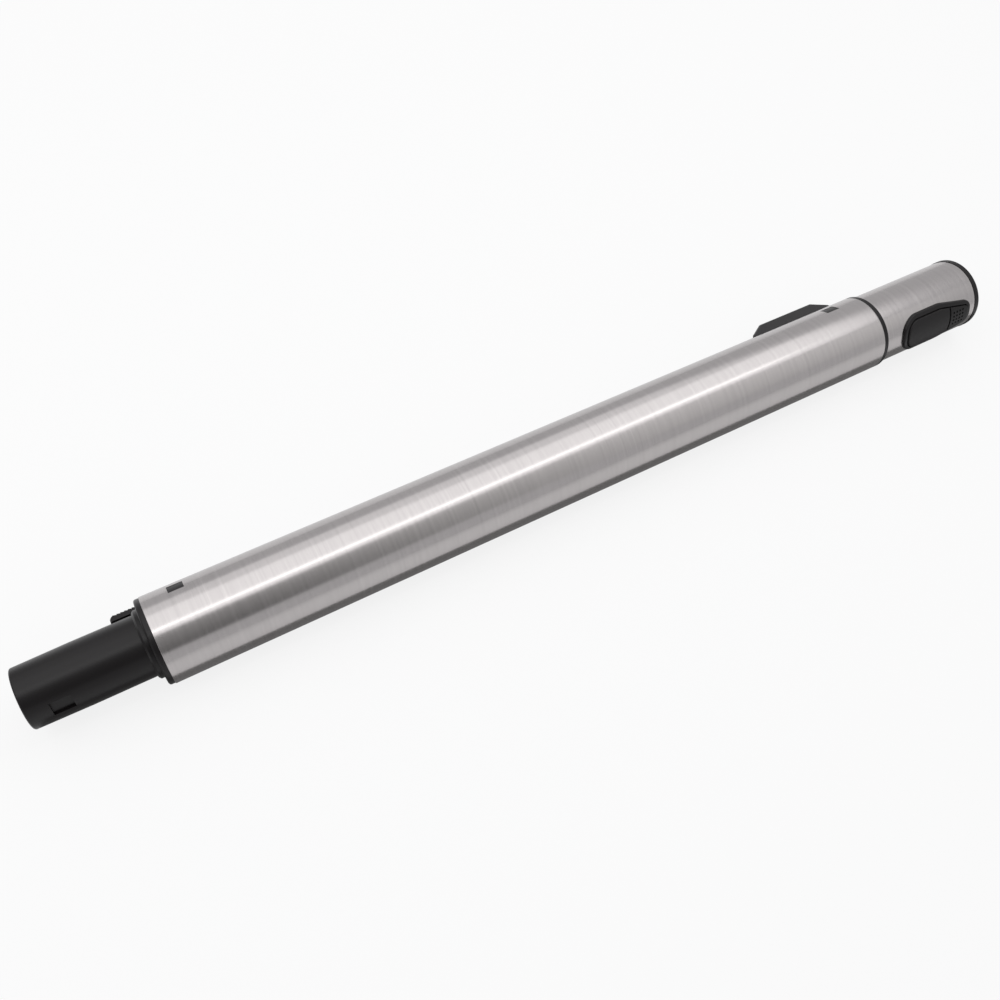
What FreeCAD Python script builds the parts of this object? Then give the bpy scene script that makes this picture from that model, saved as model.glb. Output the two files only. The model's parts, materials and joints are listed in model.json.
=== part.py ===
"""Telescopic vacuum wand, lying on the floor as it comes to rest, in millimetres.

The wand's axis is the X axis, with the nozzle end at -X and the hose end at +X. The origin is the
centre of the collar hub's front face, where a nozzle's neck stops. Every piece is first modelled with
the length slider on top (+Z) and is then laid down about the X axis until the slider cover's edge
rests on the floor.
"""
import FreeCAD, Part
import math
import os

# Outer tube
OUTER_DIAMETER = 46.0
OUTER_WALL = 0.6
OUTER_LENGTH = 450.0

# Inner tube, with the guide channel pressed into its slider side
GUIDE_GAP = 0.7
INNER_WALL = 0.6
HEAD_LENGTH = 73.5
INNER_FROM_PLUG = 11.0
INNER_OVERLAP = 77.0
CHANNEL_DEPTH = 2.4
CHANNEL_FLOOR_WIDTH = 10.0
CHANNEL_MOUTH_WIDTH = 13.0
CHANNEL_PAST_BUSH = 6.0
NOTCH_PITCH = 27.0

# Spigot that takes the nozzle, a standard 32 mm fitting
SPIGOT_DIAMETER = 32.2
SPIGOT_TIP_DIAMETER = 31.4
SPIGOT_BORE = 26.4
SPIGOT_LENGTH = 59.0
SPIGOT_PARALLEL = 31.0
SPIGOT_RIM_ROUND = 1.1
SPIGOT_INNER_LENGTH = 26.0
SPIGOT_INNER_WALL = 2.2
PLUG_LENGTH = 38.0
PLUG_WALL = 2.0
FUNNEL_LENGTH = 9.0
POCKET_TO_TIP = 11.4
POCKET_LENGTH = 10.2
POCKET_WIDTH = 7.8
POCKET_DEPTH = 1.7

# Collar ring that closes the tube's nozzle end
COLLAR_WIDTH = 3.0
COLLAR_STEP_DOWN = 0.4
COLLAR_ROUND = 1.2
COLLAR_HUB_LENGTH = 3.0
COLLAR_HUB_WALL = 2.2
COLLAR_HUB_BEVEL = 1.0
COLLAR_SNAP = 0.3

# Snap windows in the outer tube, one on each flank
WINDOW_ANGLE = 78.0
LOWER_WINDOW_FROM_END = 13.5
LOWER_WINDOW_LENGTH = 8.0
UPPER_WINDOW_FROM_END = 16.0
UPPER_WINDOW_LENGTH = 9.0
WINDOW_WIDTH = 6.6
LUG_BELOW_SURFACE = 0.15

# Nozzle latch, a serrated lever beside the collar
LATCH_PAD_LENGTH = 13.5
LATCH_PAD_WIDTH = 14.6
LATCH_PAD_BELOW_TUBE = 0.3
LATCH_PAD_ROUND = 1.2
LATCH_FRONT_SLOPE = 2.0
LATCH_ARM_WIDTH = 7.0
LATCH_ARM_THICKNESS = 1.4
LATCH_RISE = 2.3
LATCH_PIVOT_FROM_COLLAR = 16.0
LATCH_PIVOT_RISE = 2.5
LATCH_HUB_RADIUS = 1.9
LATCH_PIN_RADIUS = 1.0
LATCH_EAR_WIDTH = 2.0
LATCH_EAR_LENGTH = 4.6
LATCH_TOOTH_COUNT = 6
LATCH_TOOTH_DEPTH = 0.7
LATCH_TRAVEL_ROOM = 1.7
LATCH_SPRING_FROM_COLLAR = 8.0
LATCH_SPRING_RADIUS = 1.9
LATCH_SPRING_TURNS = 3

# Guide bush in the outer tube's hose end
BUSH_LENGTH = 45.0
BUSH_FLANGE_WIDTH = 3.0
BUSH_FLANGE_ROUND = 0.6
BUSH_SLOT_WIDTH = 15.0
BUSH_KEY_LENGTH = 7.0
BUSH_KEY_WIDTH = 9.2

# Glide sleeve and lip seal on the inner tube's lower end
GLIDE_LENGTH = 25.0
GLIDE_END = 3.0
GLIDE_LIP_LENGTH = 6.0
GLIDE_LIP_WALL = 0.7
SEAL_LENGTH = 4.5
SEAL_BASE_LENGTH = 2.5
SEAL_LIP = 0.6

# Slider base, a saddle that is hooked through the outer tube's wall
BOLT_FROM_END = 37.0
BASE_BEFORE_BOLT = 22.0
BASE_AFTER_BOLT = 29.0
BASE_THICKNESS = 1.2
BASE_WIDTH = 22.4
HOOK_SPACING = 14.0
HOOK_LENGTH = 4.0
HOOK_WIDTH = 8.0
HOOK_TOE = 1.5
HOOK_DEPTH = 1.5
POST_THICKNESS = 2.0
POST_WIDTH = 10.8
POST_HEIGHT = 2.2
SPRING_SEAT_HEIGHT = 3.8
SPRING_SEAT_WIDTH = 6.0

# Slider cover, the low housing over the lock
COVER_BEFORE_BOLT = 26.0
COVER_AFTER_BOLT = 32.0
COVER_HEIGHT = 9.0
COVER_TOP_WIDTH = 25.4
COVER_DRAFT = 1.4
COVER_WALL = 2.0
COVER_END_HEIGHT = 1.5
COVER_REAR_SLOPE = 11.0
COVER_FRONT_SLOPE = 6.2
COVER_ROUND = 2.0

# Thumb slide that lifts the bolt
SLIDE_TRAVEL = 6.0
SLIDE_PLATE_THICKNESS = 1.4
SLIDE_PLATE_WIDTH = 21.6
SLIDE_PLATE_BEFORE = 13.4
SLIDE_PLATE_AFTER = 14.5
SLIDE_PAD_BEFORE = 11.0
SLIDE_PAD_AFTER = 11.0
SLIDE_PAD_WIDTH = 14.0
SLIDE_PAD_ROUND = 2.0
SLIDE_PAD_RISE = 1.4
SLIDE_LEG_WIDTH = 2.0
SLIDE_LEG_SPACING = 12.0
SLIDE_LEG_MARGIN = 2.0
SLIDE_LEG_DEPTH = 0.5
SLIDE_RIDGE_COUNT = 5
SLIDE_RIDGE_PITCH = 3.2
SLIDE_GROOVE_WIDTH = 2.1
SLIDE_GROOVE_DEPTH = 0.8
SLIDE_LUG_AT = 7.0
SLIDE_LUG_THICKNESS = 2.0
SLIDE_LUG_WIDTH = 5.0
SLIDE_LUG_DROP = 3.3
SLIDE_SPRING_RADIUS = 1.5
SLIDE_SPRING_LENGTH = 10.5
SLIDE_SPRING_TURNS = 6

# Lock bolt and its cross pin
BOLT_LENGTH = 6.0
BOLT_WIDTH = 7.0
BOLT_LIFT = 1.8
BOLT_BITE = 0.5
BOLT_ABOVE_PIN = 1.0
PIN_RADIUS = 1.25
PIN_HEIGHT = 2.8
PIN_LENGTH = 17.2

# Socket liner in the inner tube's hose end
SOCKET_BORE = 32.8
SOCKET_INNER_BORE = 32.0
SOCKET_DEPTH = 65.5
SOCKET_MOUTH_LENGTH = 40.0
SOCKET_MOUTH_BEVEL = 1.2
SOCKET_WALL = 2.0
SOCKET_STOP_BORE = 27.2
SOCKET_STOP_LENGTH = 3.0
SOCKET_REAR_LENGTH = 5.5
SOCKET_FLANGE_TO_BEZEL = 2.0
END_RING_WIDTH = 3.6
END_RING_PROUD = 0.3
END_RING_ROUND = 1.0

# Release rocker and its bezel on the socket, opposite the slider
BEZEL_FROM_END = 5.5
BEZEL_LENGTH = 55.0
BEZEL_WIDTH = 24.0
BEZEL_CORNER = 11.0
BEZEL_TAPER = 25.0
BEZEL_SHOULDER = 24.0
BEZEL_NOSE_WIDTH = 14.0
BEZEL_NOSE_CORNER = 5.5
BEZEL_PROUD = 1.6
BEZEL_ROUND = 0.8
BEZEL_FRAME = 2.2
BEZEL_LIP = 1.2
BEZEL_SKIRT_DEPTH = 2.2
ROCKER_PROUD = 2.5
ROCKER_SKIRT = 1.5
ROCKER_SHELL = 1.9
ROCKER_SKIRT_DEPTH = 0.7
ROCKER_ROUND = 0.8
ROCKER_PIVOT_FROM_MOUTH = 31.0
ROCKER_PIVOT_RISE = 1.5
ROCKER_HUB_WIDTH = 6.4
ROCKER_HUB_RADIUS = 1.2
ROCKER_PIN_RADIUS = 0.8
ROCKER_EAR_WIDTH = 2.5
ROCKER_EAR_LENGTH = 4.0
CATCH_FROM_MOUTH = 45.0
CATCH_LENGTH = 4.4
CATCH_WIDTH = 7.2
CATCH_BITE = 1.2
CATCH_RAMP = 2.0
CATCH_ROOM = 1.3
ROCKER_GROOVE_FROM_END = 16.0
ROCKER_GROOVE_WIDTH = 1.2
ROCKER_GROOVE_DEPTH = 0.6
GRIP_ROWS = 4
GRIP_COLUMNS = 4
GRIP_PITCH = 2.5
GRIP_PIT_RADIUS = 0.7
GRIP_PIT_DEPTH = 0.5
ROCKER_SPRING_FROM_MOUTH = 19.0
ROCKER_SPRING_RADIUS = 2.0
ROCKER_SPRING_TURNS = 3

# Wire of the springs: its radius, and the flat sides of its section
SPRING_WIRE = 0.25
SPRING_WIRE_SIDES = 8

# Clearances
SEAT_CLEARANCE = 0.05
SLIDE_CLEARANCE = 0.1
SNAP_CLEARANCE = 0.15
BOLT_CLEARANCE = 0.2
RUN_CLEARANCE = 0.3
PAD_CLEARANCE = 0.4
LOOSE_CLEARANCE = 0.6

# Overrun of cuts past a face, and how closely an edge is matched
CUT = 5.0
EDGE_TOLERANCE = 0.001

# Radii and stations that follow from the driving dimensions
OUTER_R = OUTER_DIAMETER / 2
OUTER_BORE_R = OUTER_R - OUTER_WALL
INNER_R = OUTER_BORE_R - GUIDE_GAP
INNER_BORE_R = INNER_R - INNER_WALL
SPIGOT_R = SPIGOT_DIAMETER / 2
SPIGOT_TIP_R = SPIGOT_TIP_DIAMETER / 2
SPIGOT_BORE_R = SPIGOT_BORE / 2
SPIGOT_INNER_R = SPIGOT_BORE_R + SPIGOT_INNER_WALL
PLUG_R = OUTER_BORE_R - SEAT_CLEARANCE
PLUG_BORE_R = PLUG_R - PLUG_WALL
COLLAR_SEAT_R = SPIGOT_R - COLLAR_SNAP
SOCKET_R = SOCKET_BORE / 2
SOCKET_INNER_R = SOCKET_INNER_BORE / 2
SLEEVE_R = SOCKET_R + SOCKET_WALL
LINER_R = INNER_BORE_R - SLIDE_CLEARANCE
CHANNEL_FLOOR_Z = INNER_R - CHANNEL_DEPTH

COLLAR_FRONT = COLLAR_HUB_LENGTH
TUBE_START = COLLAR_FRONT + COLLAR_WIDTH
TUBE_END = TUBE_START + OUTER_LENGTH
HEAD_START = TUBE_END + BUSH_FLANGE_WIDTH
INNER_END = HEAD_START + HEAD_LENGTH
MOUTH_X = INNER_END + END_RING_WIDTH
BOLT_X = TUBE_END - BOLT_FROM_END
PLUG_END = TUBE_START + PLUG_LENGTH
INNER_START = PLUG_END + INNER_FROM_PLUG
NOTCH_STEPS = math.floor((TUBE_END - INNER_OVERLAP - INNER_START) / NOTCH_PITCH + EDGE_TOLERANCE)
EXTENSION = NOTCH_PITCH * NOTCH_STEPS
LOWER_WINDOW_X = TUBE_START + LOWER_WINDOW_FROM_END
UPPER_WINDOW_X = TUBE_END - UPPER_WINDOW_FROM_END - UPPER_WINDOW_LENGTH
CHANNEL_END = HEAD_START + CHANNEL_PAST_BUSH
ROCKER_SIDE = 180.0

# Levels of the slider group above the axis
BASE_TOP = OUTER_R + BASE_THICKNESS
COVER_TOP = OUTER_R + COVER_HEIGHT
COVER_CEILING = COVER_TOP - COVER_WALL
SLIDE_TOP = COVER_CEILING - RUN_CLEARANCE
SLIDE_PLATE_Z = SLIDE_TOP - SLIDE_PLATE_THICKNESS
PIN_Z = OUTER_R + PIN_HEIGHT
BOLT_TOP = PIN_Z + PIN_RADIUS + BOLT_ABOVE_PIN
BOLT_TIP = CHANNEL_FLOOR_Z - BOLT_BITE
LEG_BOTTOM = BASE_TOP - SLIDE_LEG_DEPTH
SLIDE_SPRING_Z = SLIDE_PLATE_Z - SLIDE_SPRING_RADIUS - SPRING_WIRE - SLIDE_CLEARANCE

# Levels and stations of the latch and the rocker
LATCH_UNDER = SPIGOT_R + LATCH_RISE
LATCH_PIVOT_X = COLLAR_FRONT + LATCH_PIVOT_FROM_COLLAR
LATCH_SPRING_X = COLLAR_FRONT + LATCH_SPRING_FROM_COLLAR
LATCH_PIVOT_Z = SPIGOT_INNER_R + LATCH_PIVOT_RISE
LATCH_PIN_LENGTH = LATCH_ARM_WIDTH + 4 * RUN_CLEARANCE + 2 * LATCH_EAR_WIDTH
ROCKER_PIVOT_X = MOUTH_X - ROCKER_PIVOT_FROM_MOUTH
ROCKER_PIVOT_Z = SLEEVE_R + ROCKER_PIVOT_RISE
ROCKER_PIN_LENGTH = ROCKER_HUB_WIDTH + 2 * RUN_CLEARANCE + 2 * ROCKER_EAR_WIDTH
ROCKER_TOP_R = INNER_R + ROCKER_PROUD
ROCKER_UNDER_R = ROCKER_TOP_R - ROCKER_SHELL
BEZEL_X1 = INNER_END - BEZEL_FROM_END
BEZEL_X0 = BEZEL_X1 - BEZEL_LENGTH
CATCH_X = MOUTH_X - CATCH_FROM_MOUTH
ROCKER_SPRING_X = MOUTH_X - ROCKER_SPRING_FROM_MOUTH

X_AXIS = FreeCAD.Vector(1, 0, 0)
Y_AXIS = FreeCAD.Vector(0, 1, 0)
Z_AXIS = FreeCAD.Vector(0, 0, 1)
CENTRE = FreeCAD.Vector(0, 0, 0)


def resting_angle():
    """Turn about X, in degrees, that lays the slider cover's rounded edge on the floor."""
    lean = math.atan2(COVER_DRAFT, COVER_TOP)
    across = COVER_TOP_WIDTH / 2 - COVER_ROUND * math.tan((math.pi / 2 - lean) / 2)
    up = COVER_TOP - COVER_ROUND
    reach = math.hypot(across, up)
    dip = math.asin((OUTER_R - COVER_ROUND) / reach) - math.atan2(across, up)
    return -(90.0 + math.degrees(dip))


def rod(radius, x0, x1):
    return Part.makeCylinder(radius, x1 - x0, FreeCAD.Vector(x0, 0, 0), X_AXIS)


def ring(outer, inner, x0, x1):
    return rod(outer, x0, x1).cut(rod(inner, x0 - CUT, x1 + CUT))


def pin(radius, x, z, length):
    """Round pin across the wand, centred on its plane of symmetry."""
    return Part.makeCylinder(radius, length, FreeCAD.Vector(x, -length / 2, z), Y_AXIS)


def block(x0, x1, width, z0, z1):
    """Box centred on the wand's plane of symmetry."""
    corner = FreeCAD.Vector(x0, -width / 2, z0)
    return Part.makeBox(x1 - x0, width, z1 - z0, corner)


def side_pair(x0, x1, inside, thickness, z0, z1):
    """Two like plates, one on each side of the wand's plane of symmetry."""
    outside = inside + thickness
    return block(x0, x1, 2 * outside, z0, z1).cut(block(x0 - CUT, x1 + CUT, 2 * inside, z0 - CUT, z1 + CUT))


def revolved(points):
    """Solid of revolution about the X axis from (station, radius) points."""
    outline = [FreeCAD.Vector(x, 0, r) for x, r in points]
    face = Part.Face(Part.makePolygon(outline + outline[:1]))
    return face.revolve(CENTRE, X_AXIS, 360)


def profile(points, width):
    """Outline of (station, height) points, carried across the wand."""
    outline = [FreeCAD.Vector(x, -width / 2, z) for x, z in points]
    face = Part.Face(Part.makePolygon(outline + outline[:1]))
    return face.extrude(FreeCAD.Vector(0, width, 0))


def section(points, x0, x1):
    """Outline of (side, height) points, carried along the wand."""
    outline = [FreeCAD.Vector(x0, y, z) for y, z in points]
    face = Part.Face(Part.makePolygon(outline + outline[:1]))
    return face.extrude(FreeCAD.Vector(x1 - x0, 0, 0))


def upright_edges(shape):
    return [e for e in shape.Edges if 1 - abs(e.tangentAt(e.FirstParameter).z) < EDGE_TOLERANCE]


def oval(x0, x1, width, corner, z0, z1):
    """Upright post with a rounded rectangular outline."""
    post = block(x0, x1, width, z0, z1)
    return post.makeFillet(corner, upright_edges(post))


def slot_across(x0, z0, x1, z1, radius, width):
    """Slanted slot with round ends, cut across the wand."""
    length = math.hypot(x1 - x0, z1 - z0)
    off_x = -(z1 - z0) / length * radius
    off_z = (x1 - x0) / length * radius
    corners = [
        (x0 + off_x, z0 + off_z),
        (x1 + off_x, z1 + off_z),
        (x1 - off_x, z1 - off_z),
        (x0 - off_x, z0 - off_z),
    ]
    ends = pin(radius, x0, z0, width).fuse(pin(radius, x1, z1, width))
    return profile(corners, width).fuse(ends).removeSplitter()


def turned(shape, degrees):
    copy = shape.copy()
    copy.rotate(CENTRE, X_AXIS, degrees)
    return copy


def flank_pair(shape):
    """The same feature on both flanks, at the snap windows' angle from the top."""
    return turned(shape, WINDOW_ANGLE).fuse(turned(shape, -WINDOW_ANGLE))


def rim_rounded(shape, x, radius, fillet):
    """Rounds the circular edge of this radius at this station."""
    def on_rim(edge):
        curve = edge.Curve
        if not isinstance(curve, Part.Circle):
            return False
        off = max(abs(curve.Radius - radius), abs(edge.CenterOfMass.x - x))
        return off < EDGE_TOLERANCE

    return shape.makeFillet(fillet, [e for e in shape.Edges if on_rim(e)])


def coil(radius, turns, length):
    """Compression spring that stands on the origin along +Z."""
    helix = Part.makeHelix(length / turns, length, radius)
    corners = []
    for side in range(SPRING_WIRE_SIDES):
        turn = 2 * math.pi * side / SPRING_WIRE_SIDES
        out = SPRING_WIRE * math.cos(turn)
        up = SPRING_WIRE * math.sin(turn)
        corners.append(FreeCAD.Vector(radius + out, 0, up))
    wire = Part.makePolygon(corners + corners[:1])
    return Part.Wire(helix).makePipeShell([wire], True, True)


def coil_between(x, z0, z1, radius, turns):
    """Spring along +Z whose wire just reaches both seats."""
    spring = coil(radius, turns, z1 - z0 - 2 * SPRING_WIRE)
    spring.translate(FreeCAD.Vector(x, 0, z0 + SPRING_WIRE))
    return spring


def channel(grow, x0, x1):
    """Guide channel's trapezoid section, or the outside of its pressed wall."""
    floor = CHANNEL_FLOOR_WIDTH / 2 + grow
    mouth = CHANNEL_MOUTH_WIDTH / 2 + grow
    rise = CUT / CHANNEL_DEPTH * (mouth - floor)
    low = CHANNEL_FLOOR_Z - grow
    high = INNER_R + CUT
    return section([(-floor, low), (floor, low), (mouth + rise, high), (-mouth - rise, high)], x0, x1)


def make_outer_tube():
    tube = ring(OUTER_R, OUTER_BORE_R, TUBE_START, TUBE_END)
    low = OUTER_BORE_R - CUT
    high = OUTER_R + CUT
    lower = block(LOWER_WINDOW_X, LOWER_WINDOW_X + LOWER_WINDOW_LENGTH, WINDOW_WIDTH, low, high)
    upper = block(UPPER_WINDOW_X, UPPER_WINDOW_X + UPPER_WINDOW_LENGTH, WINDOW_WIDTH, low, high)
    tube = tube.cut(flank_pair(lower)).cut(flank_pair(upper))
    half = BOLT_LENGTH / 2 + BOLT_CLEARANCE
    tube = tube.cut(block(BOLT_X - half, BOLT_X + half, BOLT_WIDTH + 2 * BOLT_CLEARANCE, low, high))
    half = HOOK_LENGTH / 2 + SNAP_CLEARANCE
    for x in (BOLT_X - HOOK_SPACING, BOLT_X + HOOK_SPACING):
        tube = tube.cut(block(x - half, x + half, HOOK_WIDTH + 2 * SNAP_CLEARANCE, low, high))
    return tube


def snap_lug(x0, length, carrier_r):
    """Lug that fills a snap window, to just below the tube's surface."""
    lug = block(
        x0 + SNAP_CLEARANCE,
        x0 + length - SNAP_CLEARANCE,
        WINDOW_WIDTH - 2 * SNAP_CLEARANCE,
        0,
        OUTER_R,
    )
    return lug.common(ring(OUTER_R - LUG_BELOW_SURFACE, carrier_r - SEAT_CLEARANCE, x0, x0 + length))


def make_spigot_insert():
    tip = -SPIGOT_LENGTH
    funnel_start = COLLAR_FRONT + SPIGOT_INNER_LENGTH
    funnel_end = funnel_start + FUNNEL_LENGTH
    body = revolved([
        (tip, SPIGOT_BORE_R),
        (tip, SPIGOT_TIP_R),
        (-SPIGOT_PARALLEL, SPIGOT_R),
        (0, SPIGOT_R),
        (0, COLLAR_SEAT_R),
        (TUBE_START, COLLAR_SEAT_R),
        (TUBE_START, SPIGOT_INNER_R),
        (funnel_start, SPIGOT_INNER_R),
        (funnel_end, PLUG_BORE_R),
        (TUBE_START, PLUG_BORE_R),
        (TUBE_START, PLUG_R),
        (PLUG_END, PLUG_R),
        (PLUG_END, PLUG_BORE_R),
        (funnel_start, SPIGOT_BORE_R),
    ])
    body = rim_rounded(body, tip, SPIGOT_TIP_R, SPIGOT_RIM_ROUND)
    body = body.fuse(flank_pair(snap_lug(LOWER_WINDOW_X, LOWER_WINDOW_LENGTH, PLUG_R)))
    pocket_x = tip + POCKET_TO_TIP
    pocket = block(
        pocket_x,
        pocket_x + POCKET_LENGTH,
        POCKET_WIDTH,
        SPIGOT_TIP_R - POCKET_DEPTH,
        SPIGOT_R + CUT,
    )
    body = body.cut(turned(pocket, ROCKER_SIDE))
    ears = side_pair(
        LATCH_PIVOT_X - LATCH_EAR_LENGTH / 2,
        LATCH_PIVOT_X + LATCH_EAR_LENGTH / 2,
        LATCH_ARM_WIDTH / 2 + 2 * RUN_CLEARANCE,
        LATCH_EAR_WIDTH,
        SPIGOT_BORE_R,
        LATCH_PIVOT_Z + LATCH_HUB_RADIUS,
    )
    ears = ears.common(ring(PLUG_R, SPIGOT_INNER_R - SPIGOT_INNER_WALL / 2, TUBE_START, PLUG_END))
    pivot = pin(LATCH_PIN_RADIUS + SEAT_CLEARANCE, LATCH_PIVOT_X, LATCH_PIVOT_Z, LATCH_PIN_LENGTH + CUT)
    return body.fuse(ears).cut(pivot).removeSplitter()


def make_collar_ring():
    bore = COLLAR_SEAT_R + SEAT_CLEARANCE
    hub = bore + COLLAR_HUB_WALL
    rim = OUTER_R - COLLAR_STEP_DOWN
    body = revolved([
        (0, bore),
        (0, hub - COLLAR_HUB_BEVEL),
        (COLLAR_HUB_BEVEL, hub),
        (COLLAR_FRONT, hub),
        (COLLAR_FRONT, rim),
        (TUBE_START, rim),
        (TUBE_START, bore),
    ])
    body = rim_rounded(body, COLLAR_FRONT, rim, COLLAR_ROUND)
    low = LATCH_UNDER - LATCH_TRAVEL_ROOM
    neck = block(
        -CUT,
        TUBE_START + CUT,
        LATCH_ARM_WIDTH + 2 * PAD_CLEARANCE,
        low,
        LATCH_UNDER + LATCH_ARM_THICKNESS + PAD_CLEARANCE,
    )
    pad = block(
        -CUT,
        COLLAR_FRONT,
        LATCH_PAD_WIDTH + 2 * PAD_CLEARANCE,
        low,
        OUTER_R,
    )
    return body.cut(neck).cut(pad)


def make_nozzle_latch():
    top = OUTER_R - LATCH_PAD_BELOW_TUBE
    back = COLLAR_FRONT - PAD_CLEARANCE
    front = back - LATCH_PAD_LENGTH
    pad = profile([
        (front, LATCH_UNDER),
        (front, top - LATCH_FRONT_SLOPE),
        (front + LATCH_FRONT_SLOPE, top),
        (back, top),
        (back, LATCH_UNDER),
    ], LATCH_PAD_WIDTH)
    corners = [e for e in upright_edges(pad) if abs(e.CenterOfMass.x - front) < EDGE_TOLERANCE]
    pad = pad.makeFillet(LATCH_PAD_ROUND, corners)
    pitch = (LATCH_PAD_LENGTH - LATCH_FRONT_SLOPE) / LATCH_TOOTH_COUNT
    for i in range(LATCH_TOOTH_COUNT):
        x = front + LATCH_FRONT_SLOPE + i * pitch
        gap = profile([(x, top), (x + pitch, top), (x + pitch, top - LATCH_TOOTH_DEPTH)], LATCH_PAD_WIDTH)
        pad = pad.cut(gap)
    arm = block(
        back - LATCH_FRONT_SLOPE,
        LATCH_PIVOT_X,
        LATCH_ARM_WIDTH,
        LATCH_UNDER,
        LATCH_UNDER + LATCH_ARM_THICKNESS,
    )
    hub = pin(LATCH_HUB_RADIUS, LATCH_PIVOT_X, LATCH_PIVOT_Z, LATCH_ARM_WIDTH)
    lever = pad.fuse(arm).fuse(hub)
    bore = pin(LATCH_PIN_RADIUS + SEAT_CLEARANCE, LATCH_PIVOT_X, LATCH_PIVOT_Z, LATCH_PAD_WIDTH)
    return lever.cut(bore).removeSplitter()


def make_latch_pin():
    return pin(LATCH_PIN_RADIUS, LATCH_PIVOT_X, LATCH_PIVOT_Z, LATCH_PIN_LENGTH)


def make_latch_spring():
    return coil_between(
        LATCH_SPRING_X,
        SPIGOT_INNER_R + SEAT_CLEARANCE,
        LATCH_UNDER - SEAT_CLEARANCE,
        LATCH_SPRING_RADIUS,
        LATCH_SPRING_TURNS,
    )


def make_upper_bush():
    bore = INNER_R + SLIDE_CLEARANCE
    inner_end = TUBE_END - BUSH_LENGTH
    sleeve = ring(OUTER_BORE_R - SEAT_CLEARANCE, bore, inner_end, TUBE_END)
    slot_end = TUBE_END - BUSH_KEY_LENGTH
    sleeve = sleeve.cut(block(inner_end - CUT, slot_end, BUSH_SLOT_WIDTH, 0, OUTER_R))
    flange = ring(OUTER_R, bore, TUBE_END, HEAD_START)
    flange = rim_rounded(flange, HEAD_START, OUTER_R, BUSH_FLANGE_ROUND)
    key = block(slot_end, HEAD_START, BUSH_KEY_WIDTH, CHANNEL_FLOOR_Z + RUN_CLEARANCE, OUTER_R)
    key = key.common(rod(bore + SEAT_CLEARANCE, slot_end, HEAD_START))
    lugs = flank_pair(snap_lug(UPPER_WINDOW_X, UPPER_WINDOW_LENGTH, OUTER_BORE_R - SEAT_CLEARANCE))
    return sleeve.fuse(flange).fuse(key).fuse(lugs).removeSplitter()


def make_inner_tube():
    solid = rod(INNER_R, INNER_START, INNER_END).cut(channel(0, INNER_START - CUT, CHANNEL_END))
    pressed = channel(INNER_WALL, INNER_START - CUT, CHANNEL_END + INNER_WALL)
    tube = solid.cut(rod(INNER_BORE_R, INNER_START - CUT, INNER_END + CUT).cut(pressed))
    half = BOLT_LENGTH / 2 + RUN_CLEARANCE
    width = BOLT_WIDTH + 2 * RUN_CLEARANCE
    low = CHANNEL_FLOOR_Z - CUT
    for step in range(NOTCH_STEPS + 1):
        x = BOLT_X - step * NOTCH_PITCH
        tube = tube.cut(block(x - half, x + half, width, low, INNER_R))
    cut_out = bezel_post(BEZEL_LIP - SNAP_CLEARANCE, 0, OUTER_R + CUT)
    return tube.cut(turned(cut_out, ROCKER_SIDE))


def make_glide_sleeve():
    outer = OUTER_BORE_R - SLIDE_CLEARANCE
    lip_bore = INNER_BORE_R - SEAT_CLEARANCE - GLIDE_LIP_WALL
    skirt = ring(outer, INNER_R + SEAT_CLEARANCE, INNER_START, INNER_START + GLIDE_LENGTH)
    lip = ring(INNER_BORE_R - SEAT_CLEARANCE, lip_bore, INNER_START, INNER_START + GLIDE_LIP_LENGTH)
    skirt = skirt.cut(block(INNER_START, INNER_START + GLIDE_LENGTH, BUSH_SLOT_WIDTH, 0, OUTER_R))
    lip = lip.cut(channel(INNER_WALL + SNAP_CLEARANCE, INNER_START - CUT, INNER_END))
    end = ring(outer, lip_bore, INNER_START - GLIDE_END, INNER_START)
    return end.fuse(skirt).fuse(lip).removeSplitter()


def make_seal_ring():
    back = INNER_START - GLIDE_END
    bore = INNER_BORE_R - SEAT_CLEARANCE - GLIDE_LIP_WALL
    edge = OUTER_BORE_R - SLIDE_CLEARANCE
    return revolved([
        (back, bore),
        (back, edge - SEAL_LIP),
        (back - SEAL_BASE_LENGTH, edge - 2 * SEAL_LIP),
        (back - SEAL_LENGTH, edge - SEAL_LIP),
        (back - SEAL_LENGTH, edge),
        (back - SEAL_LENGTH - SEAL_LIP, edge),
        (back - SEAL_LENGTH - SEAL_LIP, edge - SEAL_LIP),
        (back - SEAL_BASE_LENGTH, edge - 3 * SEAL_LIP),
        (back - SEAL_BASE_LENGTH, bore),
    ])


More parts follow.
